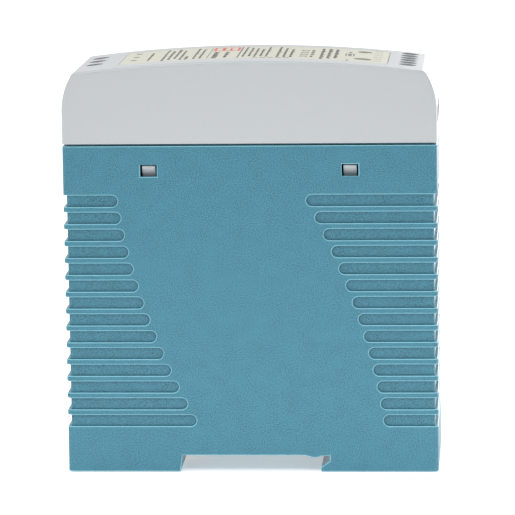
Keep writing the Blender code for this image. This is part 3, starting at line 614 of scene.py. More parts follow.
def case_inside():
    """The hollow of the case, less the pillars and slotted guides that hold the main board."""
    supports, slots = [], []
    for side in (-1, 1):
        x = sided(side, (GUIDE_X, INNER_X + 0.5))
        supports.append(((x[0], GUIDE_HIGH_Y, CASE_FLOOR_Z - 1), (x[1], INNER_Y + 0.5, FRONT_Z)))
        supports.append(((x[0], -INNER_Y - 0.5, CASE_FLOOR_Z - 1), (x[1], GUIDE_LOW_Y, FRONT_Z)))
        x = sided(side, GUIDE_SLOT_X)
        slots.append(((x[0], GUIDE_SLOT_Y[0], CASE_FLOOR_Z - 2), (x[1], GUIDE_SLOT_Y[1], FRONT_Z + 1)))
    guides = cut(boxes("guides", supports), boxes("guide_slots", slots))
    inside = box("inside", (-INNER_X, -INNER_Y, CASE_FLOOR_Z), (INNER_X, INNER_Y, SHELF_Z))
    return cut(inside, guides)


def rail_recess():
    """The rail's recess: a slanted wall at the latch, a small rib, and the fixed hook."""
    outline = [(-17.7, -BEYOND), (-17.7, 0.0), (-17.1, RECESS_Z), (12.5, RECESS_Z)]
    outline += [*arc((15.0, 6.85), 3.4, -115, -65, 8), (HOOK_X, RECESS_Z)]
    outline += [(HOOK_X, 2.6), (HOOK_TIP_X, 1.0), (HOOK_TIP_X, -BEYOND)]
    return prism("recess", outline, -HALF_Y - BEYOND, HALF_Y + BEYOND, "Y")


def rear_case():
    shell = prism("case_shell", rounded_rectangle(HALF_X, HALF_Y, CASE_CORNER_R), 0.0, CASE_RIM_Z, "Z")
    tongue = rounded_rectangle(HALF_X - TONGUE_INSET, HALF_Y - TONGUE_INSET, 0.6, 4)
    join(shell, prism("tongue", tongue, 70.0, CASE_HIGH.z, "Z"))
    cut(shell, groove_cutters(), case_inside(), rail_recess())
    cut(shell, box("rim", (-INNER_X, -INNER_Y, SHELF_Z - 0.1), (INNER_X, INNER_Y, FRONT_Z)))
    start, end = -HALF_X - BEYOND, CHANNEL_END_X
    cut(shell, box("channel", (start, -7.3, 1.3), (end, 7.3, 3.1)))
    cut(shell, box("channel_mouth", (start, -5.0, -BEYOND), (end, 5.0, 1.5)))
    cut(shell, box("spring_pocket", *SPRING_POCKET))
    cut(shell, *vent_cutters())
    spans = []
    for x in (-SNAP_X, SNAP_X):
        low = (x - WINDOW_HALF_X, -HALF_Y - BEYOND, WINDOW_Z[0])
        spans.append((low, (x + WINDOW_HALF_X, HALF_Y + BEYOND, WINDOW_Z[1])))
    cut(shell, boxes("windows", spans))
    join(shell, box("spring_post", *SPRING_POST))
    # The rounded edges take the lighter teal, a painted highlight on the groove lips and case edges.
    soften(shell, LIP_R, 2, 35, (FINISH["teal"], FINISH["teal_edge"]))
    show(shell, "teal", "rear_case")


# ---- front cover

COVER_WALL = 1.8
DOME_R = 340.0
DOME_Z = FRONT_Z - DOME_R
SHOULDER_R = 17.0
SHOULDER_Z = 88.0
EDGE_R = 1.4
COVER_RIM_Z = 80.2
SCREW_HOLE_R = 2.1
SIGHT_R = 1.7
TRIMMER_HOLE_R = 2.1
BLOCK_FLOOR_Z = 82.8
COVER_FOOT_Z = 75.0
REBATE, REBATE_Z = 0.7, 81.7
ENTRY_X, ENTRY_Z = (42.2, 47.0), (84.0, 87.9)
INPUT_ENTRY_HALF, OUTPUT_ENTRY_HALF = 2.7, 1.9
POCKET_MARGIN, POCKET_DEPTH = 0.12, 0.28
LABEL_TOP, LABEL_BOTTOM = 0.03, 0.25
LABEL_LOW, LABEL_HIGH = corners("nameplate")
LABEL_CORNER_R = 2.0
LED_AT = centre("led_light_pipe")
TRIMMER_AT = centre("trimmer_rotor")


def front_outline(inset, foot_z, dome_steps=72, shoulder_steps=14):
    """The domed front and its leaning shoulders, in XZ, open below at foot_z."""
    dome_r, shoulder_r = DOME_R - inset, SHOULDER_R - inset
    shoulder_x = HALF_X - SHOULDER_R
    reach = math.hypot(shoulder_x, SHOULDER_Z - DOME_Z)
    towards = math.degrees(math.atan2(SHOULDER_Z - DOME_Z, shoulder_x))
    opening = (dome_r**2 + reach**2 - shoulder_r**2) / (2 * dome_r * reach)
    meet = towards - math.degrees(math.acos(min(1.0, opening)))
    meet_x = dome_r * math.cos(math.radians(meet))
    meet_z = DOME_Z + dome_r * math.sin(math.radians(meet))
    top = math.degrees(math.atan2(meet_z - SHOULDER_Z, meet_x - shoulder_x))
    shoulder = arc((shoulder_x, SHOULDER_Z), shoulder_r, 0.0, top, shoulder_steps)
    dome = arc((0.0, DOME_Z), dome_r, meet, 180.0 - meet, dome_steps)
    left = [(-x, z) for x, z in reversed(shoulder)]
    return [(HALF_X - inset, foot_z), *shoulder, *dome[1:-1], *left, (inset - HALF_X, foot_z)]


def dome_sheet(name, margin, bottom, top, steps=60):
    """A round-cornered sheet that follows the dome, between two depths below it."""
    low_x, high_x = LABEL_LOW.x - margin, LABEL_HIGH.x + margin
    low_y, high_y = LABEL_LOW.y - margin, LABEL_HIGH.y + margin
    ends = [math.degrees(math.acos(x / DOME_R)) for x in (high_x + 1, low_x - 1)]
    upper = arc((0.0, DOME_Z), DOME_R - top, *ends, steps)
    lower = arc((0.0, DOME_Z), DOME_R - bottom, *reversed(ends), steps)
    sheet = prism(name, upper + lower, low_y - 1, high_y + 1, "Y")
    half = (high_x - low_x) / 2, (high_y - low_y) / 2
    middle = (high_x + low_x) / 2, (high_y + low_y) / 2
    edge = rounded_rectangle(*half, LABEL_CORNER_R + margin, 8, middle)
    return combine(sheet, [prism("edge", edge, 80.0, FRONT_Z + 4.0, "Z")], "INTERSECT")


def snap_tab(side_x, side_y):
    """A hooked tab under the cover, whose nose shows through a window of the case."""
    outline = [(16.4, 71.6), (17.9, 71.6), (17.9, 72.6), (19.3, 74.3), (19.3, 74.9), (17.9, 74.9)]
    outline += [(17.9, 82.2), (18.5, 82.2), (18.5, 85.0), (16.4, 85.0)]
    x = side_x * SNAP_X
    return prism("snap", [(side_y * y, z) for y, z in outline], x - 1.6, x + 1.6, "X")


def sights(margin):
    """Round holes down to the light pipe and to the trimmer."""
    places = ((LED_AT, SIGHT_R), (TRIMMER_AT, TRIMMER_HOLE_R))
    stages = [((at.x, at.y, BLOCK_FLOOR_Z), radius + margin, 40.0) for at, radius in places]
    return cylinders("sights", stages, "Z", 40)


def front_cover():
    shell = prism("cover_shell", front_outline(0.0, COVER_FOOT_Z), -HALF_Y, HALF_Y, "Y")
    bevel = shell.modifiers.new("bevel", "BEVEL")
    bevel.width, bevel.segments = EDGE_R * MM, 6
    bevel.limit_method, bevel.angle_limit = "ANGLE", math.radians(40)
    apply_modifiers(shell)
    inner_y = HALF_Y - COVER_WALL
    cut(shell, box("foot", (-60.0, -60.0, 70.0), (60.0, 60.0, COVER_RIM_Z)))
    cut(shell, prism("inside", front_outline(COVER_WALL, COVER_FOOT_Z), -inner_y, inner_y, "Y"))
    low = (REBATE - HALF_X, REBATE - HALF_Y, COVER_FOOT_Z)
    cut(shell, box("rebate", low, (HALF_X - REBATE, HALF_Y - REBATE, REBATE_Z)))
    cut(shell, dome_sheet("label_pocket", POCKET_MARGIN, POCKET_DEPTH, -BEYOND))
    holes = [((p.x, p.y, BLOCK_FLOOR_Z), SCREW_HOLE_R, 40.0) for p in INPUTS + OUTPUTS]
    cut(shell, cylinders("screw_holes", holes, "Z", 40))
    cut(shell, sights(0.0))
    join(shell, *[snap_tab(x, y) for x in (-1, 1) for y in (-1, 1)])
    soften(shell, 0.12, 2, 40)
    entries = []
    for poles, side, half in ((OUTPUTS, 1, OUTPUT_ENTRY_HALF), (INPUTS, -1, INPUT_ENTRY_HALF)):
        x = sided(side, ENTRY_X)
        entries += [((x[0], p.y - half, ENTRY_Z[0]), (x[1], p.y + half, ENTRY_Z[1])) for p in poles]
    # The entries come after the rounding, which would tear the end faces round them.
    cut(shell, boxes("entries", entries))
    show(shade(shell), "grey", "front_cover")


# ---- nameplate


def dome_point(x, y, depth):
    """A point of the domed front, so far below its surface."""
    radius = DOME_R - depth
    return Vector((radius * math.sin(x / DOME_R), y, DOME_Z + radius * math.cos(x / DOME_R)))


INK_TOP = 0.01
INK_BOTTOM = 0.035


def ink(name, marks, finish):
    """Thin printed marks, each given by its middle and half sizes on the label."""
    shape = bmesh.new()
    for x, y, half_x, half_y in marks:
        steps = max(1, round(half_x / 1.5))
        rows = []
        for i in range(steps + 1):
            along = x - half_x + 2 * half_x * i / steps
            row = [(along, y - half_y, INK_BOTTOM), (along, y + half_y, INK_BOTTOM)]
            row += [(along, y + half_y, INK_TOP), (along, y - half_y, INK_TOP)]
            rows.append([shape.verts.new(dome_point(*point)) for point in row])
        skin(shape, rows)
    return show(link(name, shape), finish)


def text_line(x, low_y, high_y, half_x=0.34):
    """A line of small print across the label: letter-sized dashes in words, with no lettering."""
    marks, y = [], low_y
    while y < high_y - 0.5:
        for _ in range(rng.randint(2, 6)):
            letter = rng.uniform(0.28, 0.52)
            if y + letter > high_y:
                break
            tall = half_x * rng.choice((0.7, 0.7, 1.0))
            marks.append((x - half_x + tall, y + letter / 2, tall, letter / 2))
            y += letter + 0.17
        y += 0.42
    return marks


def frame_marks(x, y, half_x, half_y, line):
    """An outlined box."""
    sides = [(x + side * (half_x - line), y, line, half_y) for side in (-1, 1)]
    return sides + [(x, y + side * (half_y - line), half_x - 2 * line, line) for side in (-1, 1)]


def nameplate():
    """A thin label with generic print: strokes, boxes and rules, and no lettering."""
    sheet = dome_sheet("label_sheet", 0.0, LABEL_BOTTOM, LABEL_TOP)
    cut(sheet, sights(0.1))
    shade(sheet)
    show(sheet, "label", "nameplate")
    low, high = LABEL_LOW.y + 1.3, LABEL_HIGH.y - 1.3
    black = []
    for p in INPUTS:
        black += frame_marks(-28.8, p.y, 0.7, 0.7, 0.12)
        black.append((-28.8, p.y, 0.32, 0.12))
    black += text_line(-25.0, low + 3, high - 4)
    for i in range(4):
        black += text_line(-21.4 + 1.45 * i, low + (i % 3) * 1.6, high - (i % 2) * 3.4)
    black += text_line(-15.6, low, low + 7.5, 0.5)
    for i in range(2):
        black += text_line(-13.8 + 1.5 * i, low + 0.6, high - 2.4 * i)
    black.append((-10.6, (low + high) / 2, 0.08, (high - low) / 2))
    black += text_line(-8.9, low, 3.4, 0.62) + text_line(-6.2, low + 1.2, 2.8, 0.5)
    black.append((-3.2, (low + high) / 2, 0.16, (high - low) / 2))
    for i in range(5):
        black += text_line(-1.9 + 1.4 * i, low + 2.2 + (i % 2), high - (i * 5 % 4) * 1.6)
    black += [(1.0 + 1.9 * i, low + 0.3, 0.7, 0.3) for i in range(5)]
    for i in range(3):
        black += text_line(6.4 + 1.6 * i, low + 2.0, high - 2.0 * i, 0.4)
    for i, y in enumerate((-6.6, -2.2, 2.2, 6.6)):
        black += frame_marks(12.6, y, 0.9, 0.9, 0.14)
        black += text_line(14.6, y - 1.5, y + 1.5, 0.42)
    for i in range(3):
        black += text_line(17.0 + 1.7 * i, low + 1.5 * i, high - 1.2, 0.46)
    black += frame_marks(23.6, 1.4, 1.1, 2.6, 0.14) + [(23.6, 1.4, 0.4, 1.6)]
    black += text_line(23.6, 6.0, 8.0, 0.4) + text_line(23.4, -12.0, -9.6, 0.4)
    for p in OUTPUTS:
        y = p.y * 0.88 + 0.3
        black += [(30.2, y, 0.75, 0.1), (31.2, y, 0.1, 0.45)]
    ink("label_print", black, "ink")
    red = frame_marks(-6.9, 9.6, 3.2, 3.7, 0.3)
    red += text_line(-7.6, 6.9, 12.4, 0.5) + text_line(-5.8, 6.9, 11.6, 0.4)
    ink("label_panel", [m for m in red if m[3] > 0], "red_ink")


# ---- terminals


SCREW_HEAD_R, SCREW_HEAD_H, SCREW_SHANK_R = 1.8, 1.6, 0.9
SCREW_TIP_Z, SCREW_TOP_Z = 88.6, 94.8
CAGE_SIDE, CAGE_FLOOR, CAGE_ROOF = 0.5, 0.7, 1.0
BAR_X, BAR_Z, BAR_THICK, BAR_HALF = (32.9, 41.0), 87.9, 0.6, 0.9
BLOCK_X = (31.6, 42.8)
CHAMBER_X, CHAMBER_Z = (33.2, 41.2), (83.3, 92.3)
MOUTH_X, MOUTH_Z = (40.7, 44.8), (84.2, 87.6)


def thread_profile(radius, high, low, pitch):
    """A ridged shank from high down to low."""
    points, z = [], high
    while z - pitch > low:
        points += [(radius - 0.14, z), (radius, z - pitch / 2)]
        z -= pitch
    return [*points, (radius - 0.14, z), (radius - 0.35, low), (0.0, low)]


def slotted_screw(node):
    head_r, shank_r, low_z, high_z = SCREW_HEAD_R, SCREW_SHANK_R, SCREW_TIP_Z, SCREW_TOP_Z
    x, y, _ = centre(node)
    seat = high_z - SCREW_HEAD_H
    profile = [(0.0, high_z), (head_r - 0.35, high_z), (head_r - 0.12, high_z - 0.08)]
    profile += [(head_r, high_z - 0.3), (head_r, seat + 0.1), (head_r - 0.1, seat)]
    profile += thread_profile(shank_r, seat, low_z, 0.5)
    screw = lathe(node + "_slotted", profile, (x, y, 0.0), "Z", 28)
    slot = box("slot", (x - 3.0, y - 0.3, high_z - 0.75), (x + 3.0, y + 0.3, high_z + 1.0))
    cross = box("cross", (x - 0.3, y - 1.15, high_z - 0.75), (x + 0.3, y + 1.15, high_z + 1.0))
    cut(screw, slot, cross)
    shade(screw, 30)
    show(screw, "steel", node, node)


def cage_clamp(node):
    """A folded cage with its screw hole, and serrations on the floor that grips the wire."""
    low, high, middle = extent(node)
    screw = centre(node.replace("clamp", "screw"))
    cage = box("cage", low, high)
    inner = (high.x + 1, high.y - CAGE_SIDE, high.z - CAGE_ROOF)
    way = box("way", (low.x - 1, low.y + CAGE_SIDE, low.z + CAGE_FLOOR), inner)
    cut(cage, way, cylinders("roof", [((screw.x, screw.y, high.z - 2), 1.2, 3.0)], "Z", 24))
    soften(cage, 0.14)
    teeth = []
    for i in range(5):
        x = middle.x + (i - 2) * 1.1
        teeth.append([(x - 0.3, low.z + 0.65), (x + 0.3, low.z + 0.65), (x, low.z + 0.9)])
    grip = prisms("grip", teeth, low.y + CAGE_SIDE - 0.05, high.y - CAGE_SIDE + 0.05, "Y")
    show(merge(node + "_cage", [cage, grip]), "brass", node, node)


def contact_bar(name, screw, side):
    """The fixed bar that the cage presses the wire against, with its pin into the front board."""
    (inner, outer), z = BAR_X, BAR_Z
    outline = [(inner, z), (outer, z), (outer, z + BAR_THICK), (inner - BAR_THICK, z + BAR_THICK)]
    outline += [(inner - BAR_THICK, COVER_RIM_Z), (inner, COVER_RIM_Z)]
    outline = [(side * x, z) for x, z in outline]
    bar = prism(name, outline, screw.y - BAR_HALF, screw.y + BAR_HALF, "Y")
    soften(bar, 0.12)
    show(bar, "tin")


def terminal_block(node, screws, side, chamber_half, entry_half):
    """The terminal moulding: chambers, screw bores and wire mouths, with flared mouth edges."""
    low, high = corners(node)
    inner, outer = BLOCK_X
    outline = [(inner, low.z), (outer, low.z), (outer, 90.0), (41.0, high.z), (inner, high.z)]
    outline = [(side * x, z) for x, z in outline]
    block = prism(node + "_moulding", outline, low.y, high.y, "Y")
    chambers, mouths, gaps = [], [], []
    for p in screws:
        x = sided(side, CHAMBER_X)
        chambers.append(((x[0], p.y - chamber_half, CHAMBER_Z[0]), (x[1], p.y + chamber_half, CHAMBER_Z[1])))
        x = sided(side, MOUTH_X)
        mouths.append(((x[0], p.y - entry_half, MOUTH_Z[0]), (x[1], p.y + entry_half, MOUTH_Z[1])))
    for first, second in zip(screws, screws[1:]):
        y = (first.y + second.y) / 2
        x = sided(side, (30.0, 40.0))
        gaps.append(((x[0], y - 0.12, high.z - 0.8), (x[1], y + 0.12, high.z + 1.0)))
    cut(block, boxes("chambers", chambers), boxes("mouths", mouths), boxes("gaps", gaps))
    heads = [((p.x, p.y, 92.9), SCREW_HOLE_R, 10.0) for p in screws]
    necks = [((p.x, p.y, 91.8), 1.3, 2.0) for p in screws]
    cut(block, cylinders("heads", heads, "Z", 32), cylinders("necks", necks, "Z", 24))
    soften(block, 0.12)
    show(block, "terminal", node)


def terminals():
    terminal_block("input_terminal_block", INPUTS, -1, 3.1, 2.2)
    terminal_block("output_terminal_block", OUTPUTS, 1, 2.1, 1.5)
    for kind, screws, side in (("input", INPUTS, -1), ("output", OUTPUTS, 1)):
        for i, screw in enumerate(screws, 1):
            slotted_screw(f"{kind}_screw_{i}")
            cage_clamp(f"{kind}_clamp_{i}")
            contact_bar(f"{kind}_contact_{i}", screw, side)


# ---- rail latch


SPRING_R, SPRING_WIRE_R, SPRING_Z = 1.7, 0.25, 2.2
SPRING_TURNS, SPRING_STEPS = 7, 20
SPRING_CLOSING = 0.6


def spring_path(start, end):
    """A helix along X between start and end, its two end turns closed up."""
    path = []
    for i in range(SPRING_TURNS * SPRING_STEPS + 1):
        share = i / (SPRING_TURNS * SPRING_STEPS)
        near = min(share, 1 - share)
        if near < 1 / SPRING_TURNS:
            near = max(0.0, near + SPRING_CLOSING * (near - 1 / SPRING_TURNS))
        along = near if share < 0.5 else 1 - near
        turn = 2 * math.pi * i / SPRING_STEPS
        across, up = SPRING_R * math.cos(turn), SPRING_Z + SPRING_R * math.sin(turn)
        path.append((start + (end - start) * along, across, up))
    return path


def rail_latch():
    low, high = corners("rail_latch")
    outline = [(low.x, low.z), (high.x - 0.9, low.z), (high.x, low.z + 0.75), (high.x, high.z), (low.x, high.z)]
    latch = prism("latch_plate", outline, low.y, high.y, "Y")
    window = box("window", (-39.0, -2.4, 0.0), (-27.0, 2.4, 5.0))
    pull = prism("pull", rounded_rectangle(0.9, 2.6, 0.5, 5, (-42.1, 0.0)), 0.0, 5.0, "Z")
    cut(latch, window, pull)
    soften(latch, 0.15)
    show(latch, "latch", "rail_latch", "latch")
    low, high = corners("latch_spring")
    path = spring_path(low.x + SPRING_WIRE_R, high.x - SPRING_WIRE_R)
    coil = tube("spring_coil", path, SPRING_WIRE_R, 10)
    show(coil, "spring", "latch_spring")
    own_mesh(coil)


# ---- boards and front controls

BOARD_LOW, BOARD_HIGH = corners("main_board")
BOARD_FACE, BOARD_BACK = BOARD_LOW.y, BOARD_HIGH.y
SOLDER_TOP = BOARD_BACK + 0.26
legs = []


def stand_on(points, radius=0.35):
    """Notes legs at (x, z) on the main board; they are all built together at the end."""
    legs.extend((x, z, radius) for x, z in points)


def eased(node, finish, width):
    """A CAD node kept as it is, with its edges eased and a finish of its own."""
    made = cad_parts[node]
    made.data.materials.clear()
    made.data.materials.append(FINISH[finish])
    if width:
        made.modifiers.new("weld", "WELD").merge_threshold = 1e-6
        bevel = made.modifiers.new("bevel", "BEVEL")
        bevel.width, bevel.segments = width * MM, 2
        bevel.limit_method, bevel.angle_limit = "ANGLE", math.radians(40)
        made.modifiers.new("normals", "WEIGHTED_NORMAL")


def trimmer_and_light():
    low, high, middle = extent("trimmer_body")
    body = box("trimmer_case", low, (high.x, high.y, high.z - 0.8))
    soften(body, 0.35, 3)
    rim = [(0, 88.5), (2.6, 88.5), (2.6, 89.5), (2.3, 89.8), (0, 89.8)]
    collar = lathe("collar", rim, (middle.x, middle.y, 0), "Z", 40)
    body = merge("trimmer_case", [body, collar])
    show(shade(body), "blue", "trimmer_body")
    low, high = corners("trimmer_rotor")
    profile = [(0, low.z), (1.3, low.z), (1.6, low.z + 0.3), (1.6, high.z - 2.0), (1.45, high.z - 1.9)]
    profile += [(1.45, high.z - 1.5), (1.9, high.z - 1.1), (1.9, high.z - 0.2), (1.7, high.z), (0, high.z)]
    rotor = lathe("trimmer_shaft", profile, (middle.x, middle.y, 0), "Z", 40)
    x, y, z = middle.x, middle.y, high.z
    cut(rotor, box("slot", (x - 3, y - 0.28, z - 0.9), (x + 3, y + 0.28, z + 1)))
    cut(rotor, box("cross", (x - 0.28, y - 1.0, z - 0.9), (x + 0.28, y + 1.0, z + 1)))
    cut(rotor, box("mark", (x + 0.9, y - 0.5, z - 0.25), (x + 3, y + 0.5, z + 1)))
    show(shade(rotor), "white", "trimmer_rotor", "trimmer_rotor")
    low, high = corners("status_led")
    at = ((low.x + high.x) / 2, (low.y + high.y) / 2, 0)
    dome = arc((0.0, high.z - 1.4), 1.4, 0, 80, 8)
    led = [(0, low.z), (1.6, low.z), (1.6, low.z + 0.6), (1.4, low.z + 0.7), *dome, (0, high.z)]
    led = lathe("led_lens", led, at)
    show(led, "lens", "status_led")
    low, high = corners("led_light_pipe")
    pipe = [(0, low.z), (1.1, low.z), (1.4, low.z + 0.5), (1.4, low.z + 1.6), (1.15, low.z + 2.0)]
    pipe += [(1.15, high.z - 2.2)]
    pipe += [(1.5, high.z - 1.8), (1.5, high.z - 0.4), (1.3, high.z - 0.1), (0.6, high.z), (0, high.z)]
    show(lathe("light_pipe", pipe, at, "Z", 40), "lens", "led_light_pipe")


def board_link():
    """The stacking connector between the boards, with a row of pins into each."""
    low, high = corners("board_connector")
    body = box("connector_body", low, high)
    ways = [low.x + 1.65 + 2.54 * i for i in range(6)]
    gaps = [((x + 1.02, low.y - 1, low.z + 1.0), (x + 1.52, low.y + 0.6, high.z - 1.0)) for x in ways[:-1]]
    windows = [((x - 0.5, low.y - 1, 70.0), (x + 0.5, low.y + 0.9, 77.0)) for x in ways]
    cut(body, boxes("gaps", gaps), boxes("windows", windows))
    soften(body, 0.15)
    show(body, "black", "board_connector")
    pins = [((x - 0.32, 12.1, high.z - 0.5), (x + 0.32, 12.74, 83.4)) for x in ways]
    show(boxes("connector_pins", pins), "tin")
    stand_on([(x, z) for x in ways for z in (68.0, 70.5)], 0.32)


# ---- radial parts


def electrolytic(node, stripe_turn):
    """An aluminium can in a shrunk sleeve, with its vent scores, polarity stripe and rubber bung."""
    low, high = corners(node)
    radius, x, z = (high.x - low.x) / 2, (low.x + high.x) / 2, (low.z + high.z) / 2
    at, top, base = (x, 0.0, z), low.y, high.y
    neck = base - radius * 0.42
    sleeve = [(radius * 0.80, top), (radius * 0.94, top), (radius * 0.985, top + 0.15), (radius, top + 0.5)]
    sleeve += [(radius, neck - 0.9), (radius * 0.95, neck - 0.3), (radius * 0.95, neck + 0.3)]
    sleeve += [(radius, neck + 0.9), (radius, base - 0.4)]
    sleeve += [(radius * 0.96, base), (radius * 0.8, base), (radius * 0.8, top)]
    made = lathe(node + "_sleeve", sleeve, at, "Y", 56)
    show(shade(made), "sleeve", node)
    rim = radius * 0.79
    lid = [(0, top + 0.12), (rim, top + 0.12), (rim, top + 1.4), (0, top + 1.4)]
    lid = lathe(node + "_lid", lid, at, "Y", 56)
    for turn in (0, 120, 240):
        t = math.radians(turn + 30)
        across = Vector((-math.sin(t), math.cos(t))) * 0.12
        tip = Vector((math.cos(t), math.sin(t))) * radius * 0.62
        outline = [(x + p.x, z + p.y) for p in (-across, tip - across, tip + across, across)]
        cut(lid, prism("score", outline, top - 1.0, top + 0.32, "Y"))
    show(shade(lid), "aluminium")
    shape = bmesh.new()
    steps, rows = 6, []
    for i in range(steps + 1):
        t = math.radians(stripe_turn - 22 + 44 * i / steps)
        under, over = radius - 0.05, radius + 0.01
        ring = ((under, top + 1.2), (over, top + 1.2), (over, neck - 1.2), (under, neck - 1.2))
        rows.append([shape.verts.new((x + r * math.cos(t), y, z + r * math.sin(t))) for r, y in ring])
    skin(shape, rows)
    show(link(node + "_stripe", shape), "stripe")
    bung = [(0, base - 1.2), (radius * 0.78, base - 1.2), (radius * 0.78, base - 0.35)]
    bung += [(radius * 0.6, base - 0.15), (0, base - 0.15)]
    show(lathe(node + "_bung", bung, at, "Y", 40), "rubber")
    spread = radius * 0.5
    stand_on([(x, z - spread), (x, z + spread)], 0.4)


DISC_PROFILE = ((0.0, 1.0), (0.45, 0.98), (0.7, 0.9), (0.86, 0.72), (0.96, 0.42), (1.0, 0.12))


def dipped_disc(node, axis, finish):
    """A disc dipped in epoxy, thinner at its rim, with the coating run a little down each leg."""
    low, high, middle = extent(node)
    half = {"X": high.x - low.x, "Z": high.z - low.z}[axis] / 2
    radius, spread = (high.y - low.y) / 2, 2.5
    profile = [(radius * s, -half * h) for s, h in DISC_PROFILE]
    profile += [(r, -h) for r, h in reversed(profile)]
    made = lathe(node + "_disc", profile, middle, axis, 48)
    along = [(0.0, s * spread) for s in (-1, 1)] if axis == "X" else [(s * spread, 0.0) for s in (-1, 1)]
    runs, wires = [], []
    for dx, dz in along:
        x, z = middle.x + dx, middle.z + dz
        start = middle.y + math.sqrt(max(0.0, radius**2 - spread**2)) - 0.8
        drip = [(0, 0.0), (0.75, 0.0), (0.65, 1.0), (0.48, 1.5), (0, 1.6)]
        runs.append(lathe("run", drip, (x, start, z), "Y", 16))
        wires.append((x, z))
    made = merge(node + "_disc", [made, *runs])
    show(shade(made, 50), finish, node)
    stand_on(wires, 0.33)


def small_fuse():
    low, high = corners("input_fuse")
    middle, radius = (low + high) / 2, (high.x - low.x) / 2
    profile = [(0, low.y), (radius - 0.9, low.y), (radius - 0.25, low.y + 0.25), (radius, low.y + 0.8)]
    profile += [(radius, high.y - 2.0), (radius - 0.15, high.y - 1.9)]
    profile += [(radius - 0.15, high.y - 1.7), (radius, high.y - 1.6)]
    profile += [(radius, high.y - 0.3), (radius - 0.3, high.y), (0, high.y)]
    fuse = lathe("fuse_body", profile, (middle.x, 0, middle.z), "Y", 48)
    show(fuse, "black", "input_fuse")
    stand_on([(middle.x, middle.z - 2.54), (middle.x, middle.z + 2.54)], 0.35)


def film_capacitor():
    low, high = corners("x_capacitor")
    body = box("film_case", low, (high.x, high.y - 0.5, high.z))
    soften(body, 0.45, 3)
    feet = []
    for z in (low.z + 0.3, high.z - 1.5):
        for x in (low.x + 0.3, high.x - 1.5):
            feet.append(((x, high.y - 1.0, z), (x + 1.2, high.y, z + 1.2)))
    resin = ((low.x + 0.8, high.y - 1.0, low.z + 0.8), (high.x - 0.8, high.y - 0.35, high.z - 0.8))
    body = merge("film_case", [body, boxes("feet", [*feet, resin])])
    show(shade(body), "yellow", "x_capacitor")
    x = (low.x + high.x) / 2
    stand_on([(x, low.z + 1.5), (x, high.z - 1.5)], 0.4)


def bridge():
    low, high = corners("bridge_rectifier")
    outline = [(low.x, low.y + 1.6), (low.x + 1.6, low.y), (high.x, low.y), (high.x, high.y - 1.2)]
    outline += [(high.x - 0.5, high.y), (low.x + 0.5, high.y), (low.x, high.y - 1.2)]
    body = prism("bridge_case", outline, low.z, high.z, "Z")
    dimples = [((x, low.y + 3.2, high.z - 0.35), 1.1, 2.0) for x in (low.x + 3.4, high.x - 3.4)]
    cut(body, cylinders("dimples", dimples, "Z", 28))
    grooves = []
    for x in (-3.3, 0.0, 3.3):
        grooves.append(((x - 0.35, low.y + 5.8, high.z - 0.2), (x + 0.35, high.y + 1, high.z + 1)))
    cut(body, boxes("grooves", grooves))
    soften(body, 0.22)
    show(body, "black", "bridge_rectifier")
    z = (low.z + high.z) / 2
    stand_on([(x, z) for x in (-5.1, -1.7, 1.7, 5.1)], 0.45)


def relay():
    low, high = corners("dc_ok_relay")
    cover = box("relay_cover", low, (high.x, high.y - 1.4, high.z))
    soften(cover, 0.5, 3)
    z = (low.z + high.z) / 2
    vent = ((high.x - 2.2, low.y - 0.3, z), 0.5, 0.6)
    cut(cover, cylinders("vent", [vent], "Y", 20))
    show(shade(cover), "white", "dc_ok_relay")
    base = box("relay_base", (low.x + 0.15, high.y - 1.4, low.z + 0.15), (high.x - 0.15, high.y, high.z - 0.15))
    soften(base, 0.2)
    show(base, "black")
    stand_on([(x, z + dz) for x in (low.x + 1.6, high.x - 2) for dz in (-3.8, 3.8)] + [(high.x - 7, z)])


def leaded_package(node, name, per_side, top, dot_r):
    """A moulded package with formed leads along both long sides."""
    low, high = corners(node)
    foot = high.y
    lip = 0.9 if per_side > 2 else 0.5
    inner_low, inner_high = low.x + lip, high.x - lip
    seat = (top + foot - 0.2) / 2
    outline = [(inner_low + 0.15, top), (inner_high - 0.15, top), (inner_high, seat)]
    outline += [(inner_high - 0.15, foot - 0.15), (inner_low + 0.15, foot - 0.15), (inner_low, seat)]
    body = prism(name, outline, low.z, high.z, "Z")
    cut(body, cylinders("dot", [((inner_low + 1.0, top - 1.0, high.z - 1.1), dot_r, 1.08)], "Y", 24))
    soften(body, 0.08)
    show(body, "black", node)
    pitch = (high.z - low.z) / per_side
    half = min(0.25, pitch * 0.2)
    leads = []
    for i in range(per_side):
        z = low.z + pitch * (i + 0.5)
        for side, inner, outer in ((-1, inner_low, low.x), (1, inner_high, high.x)):
            root = inner - side * 0.1
            strip = [(0.35, seat - 0.08), (0.1, foot - 0.25), (0.0, foot - 0.2), (0.0, foot + 0.25)]
            strip += [(0.5, foot + 0.25), (0.5, foot + 0.05), (0.3, foot - 0.1), (0.5, seat + 0.08)]
            strip = [(outer - side * x, y) for x, y in strip]
            strip = [(root, seat - 0.08), *strip, (root, seat + 0.08)]
            leads.append(prism("lead", strip, z - half, z + half, "Z"))
    show(merge(name + "_leads", leads), "tin")


# ---- wound parts


def ring_winding(name, middle, ring_r, half_u, half_v, wire, start, end, turns):
    """A wire wound round a ring whose axis is Y, between two angles."""
    path, steps = [], 22
    for i in range(turns * steps + 1):
        t = math.radians(start + (end - start) * i / (turns * steps))
        a = 2 * math.pi * i / steps
        c, s = math.cos(a), math.sin(a)
        u = half_u * math.copysign(abs(c) ** 0.45, c)
        v = half_v * math.copysign(abs(s) ** 0.45, s)
        r = ring_r + u
        path.append((middle.x + r * math.cos(t), middle.y + v, middle.z + r * math.sin(t)))
    return tube(name, path, wire, 10)


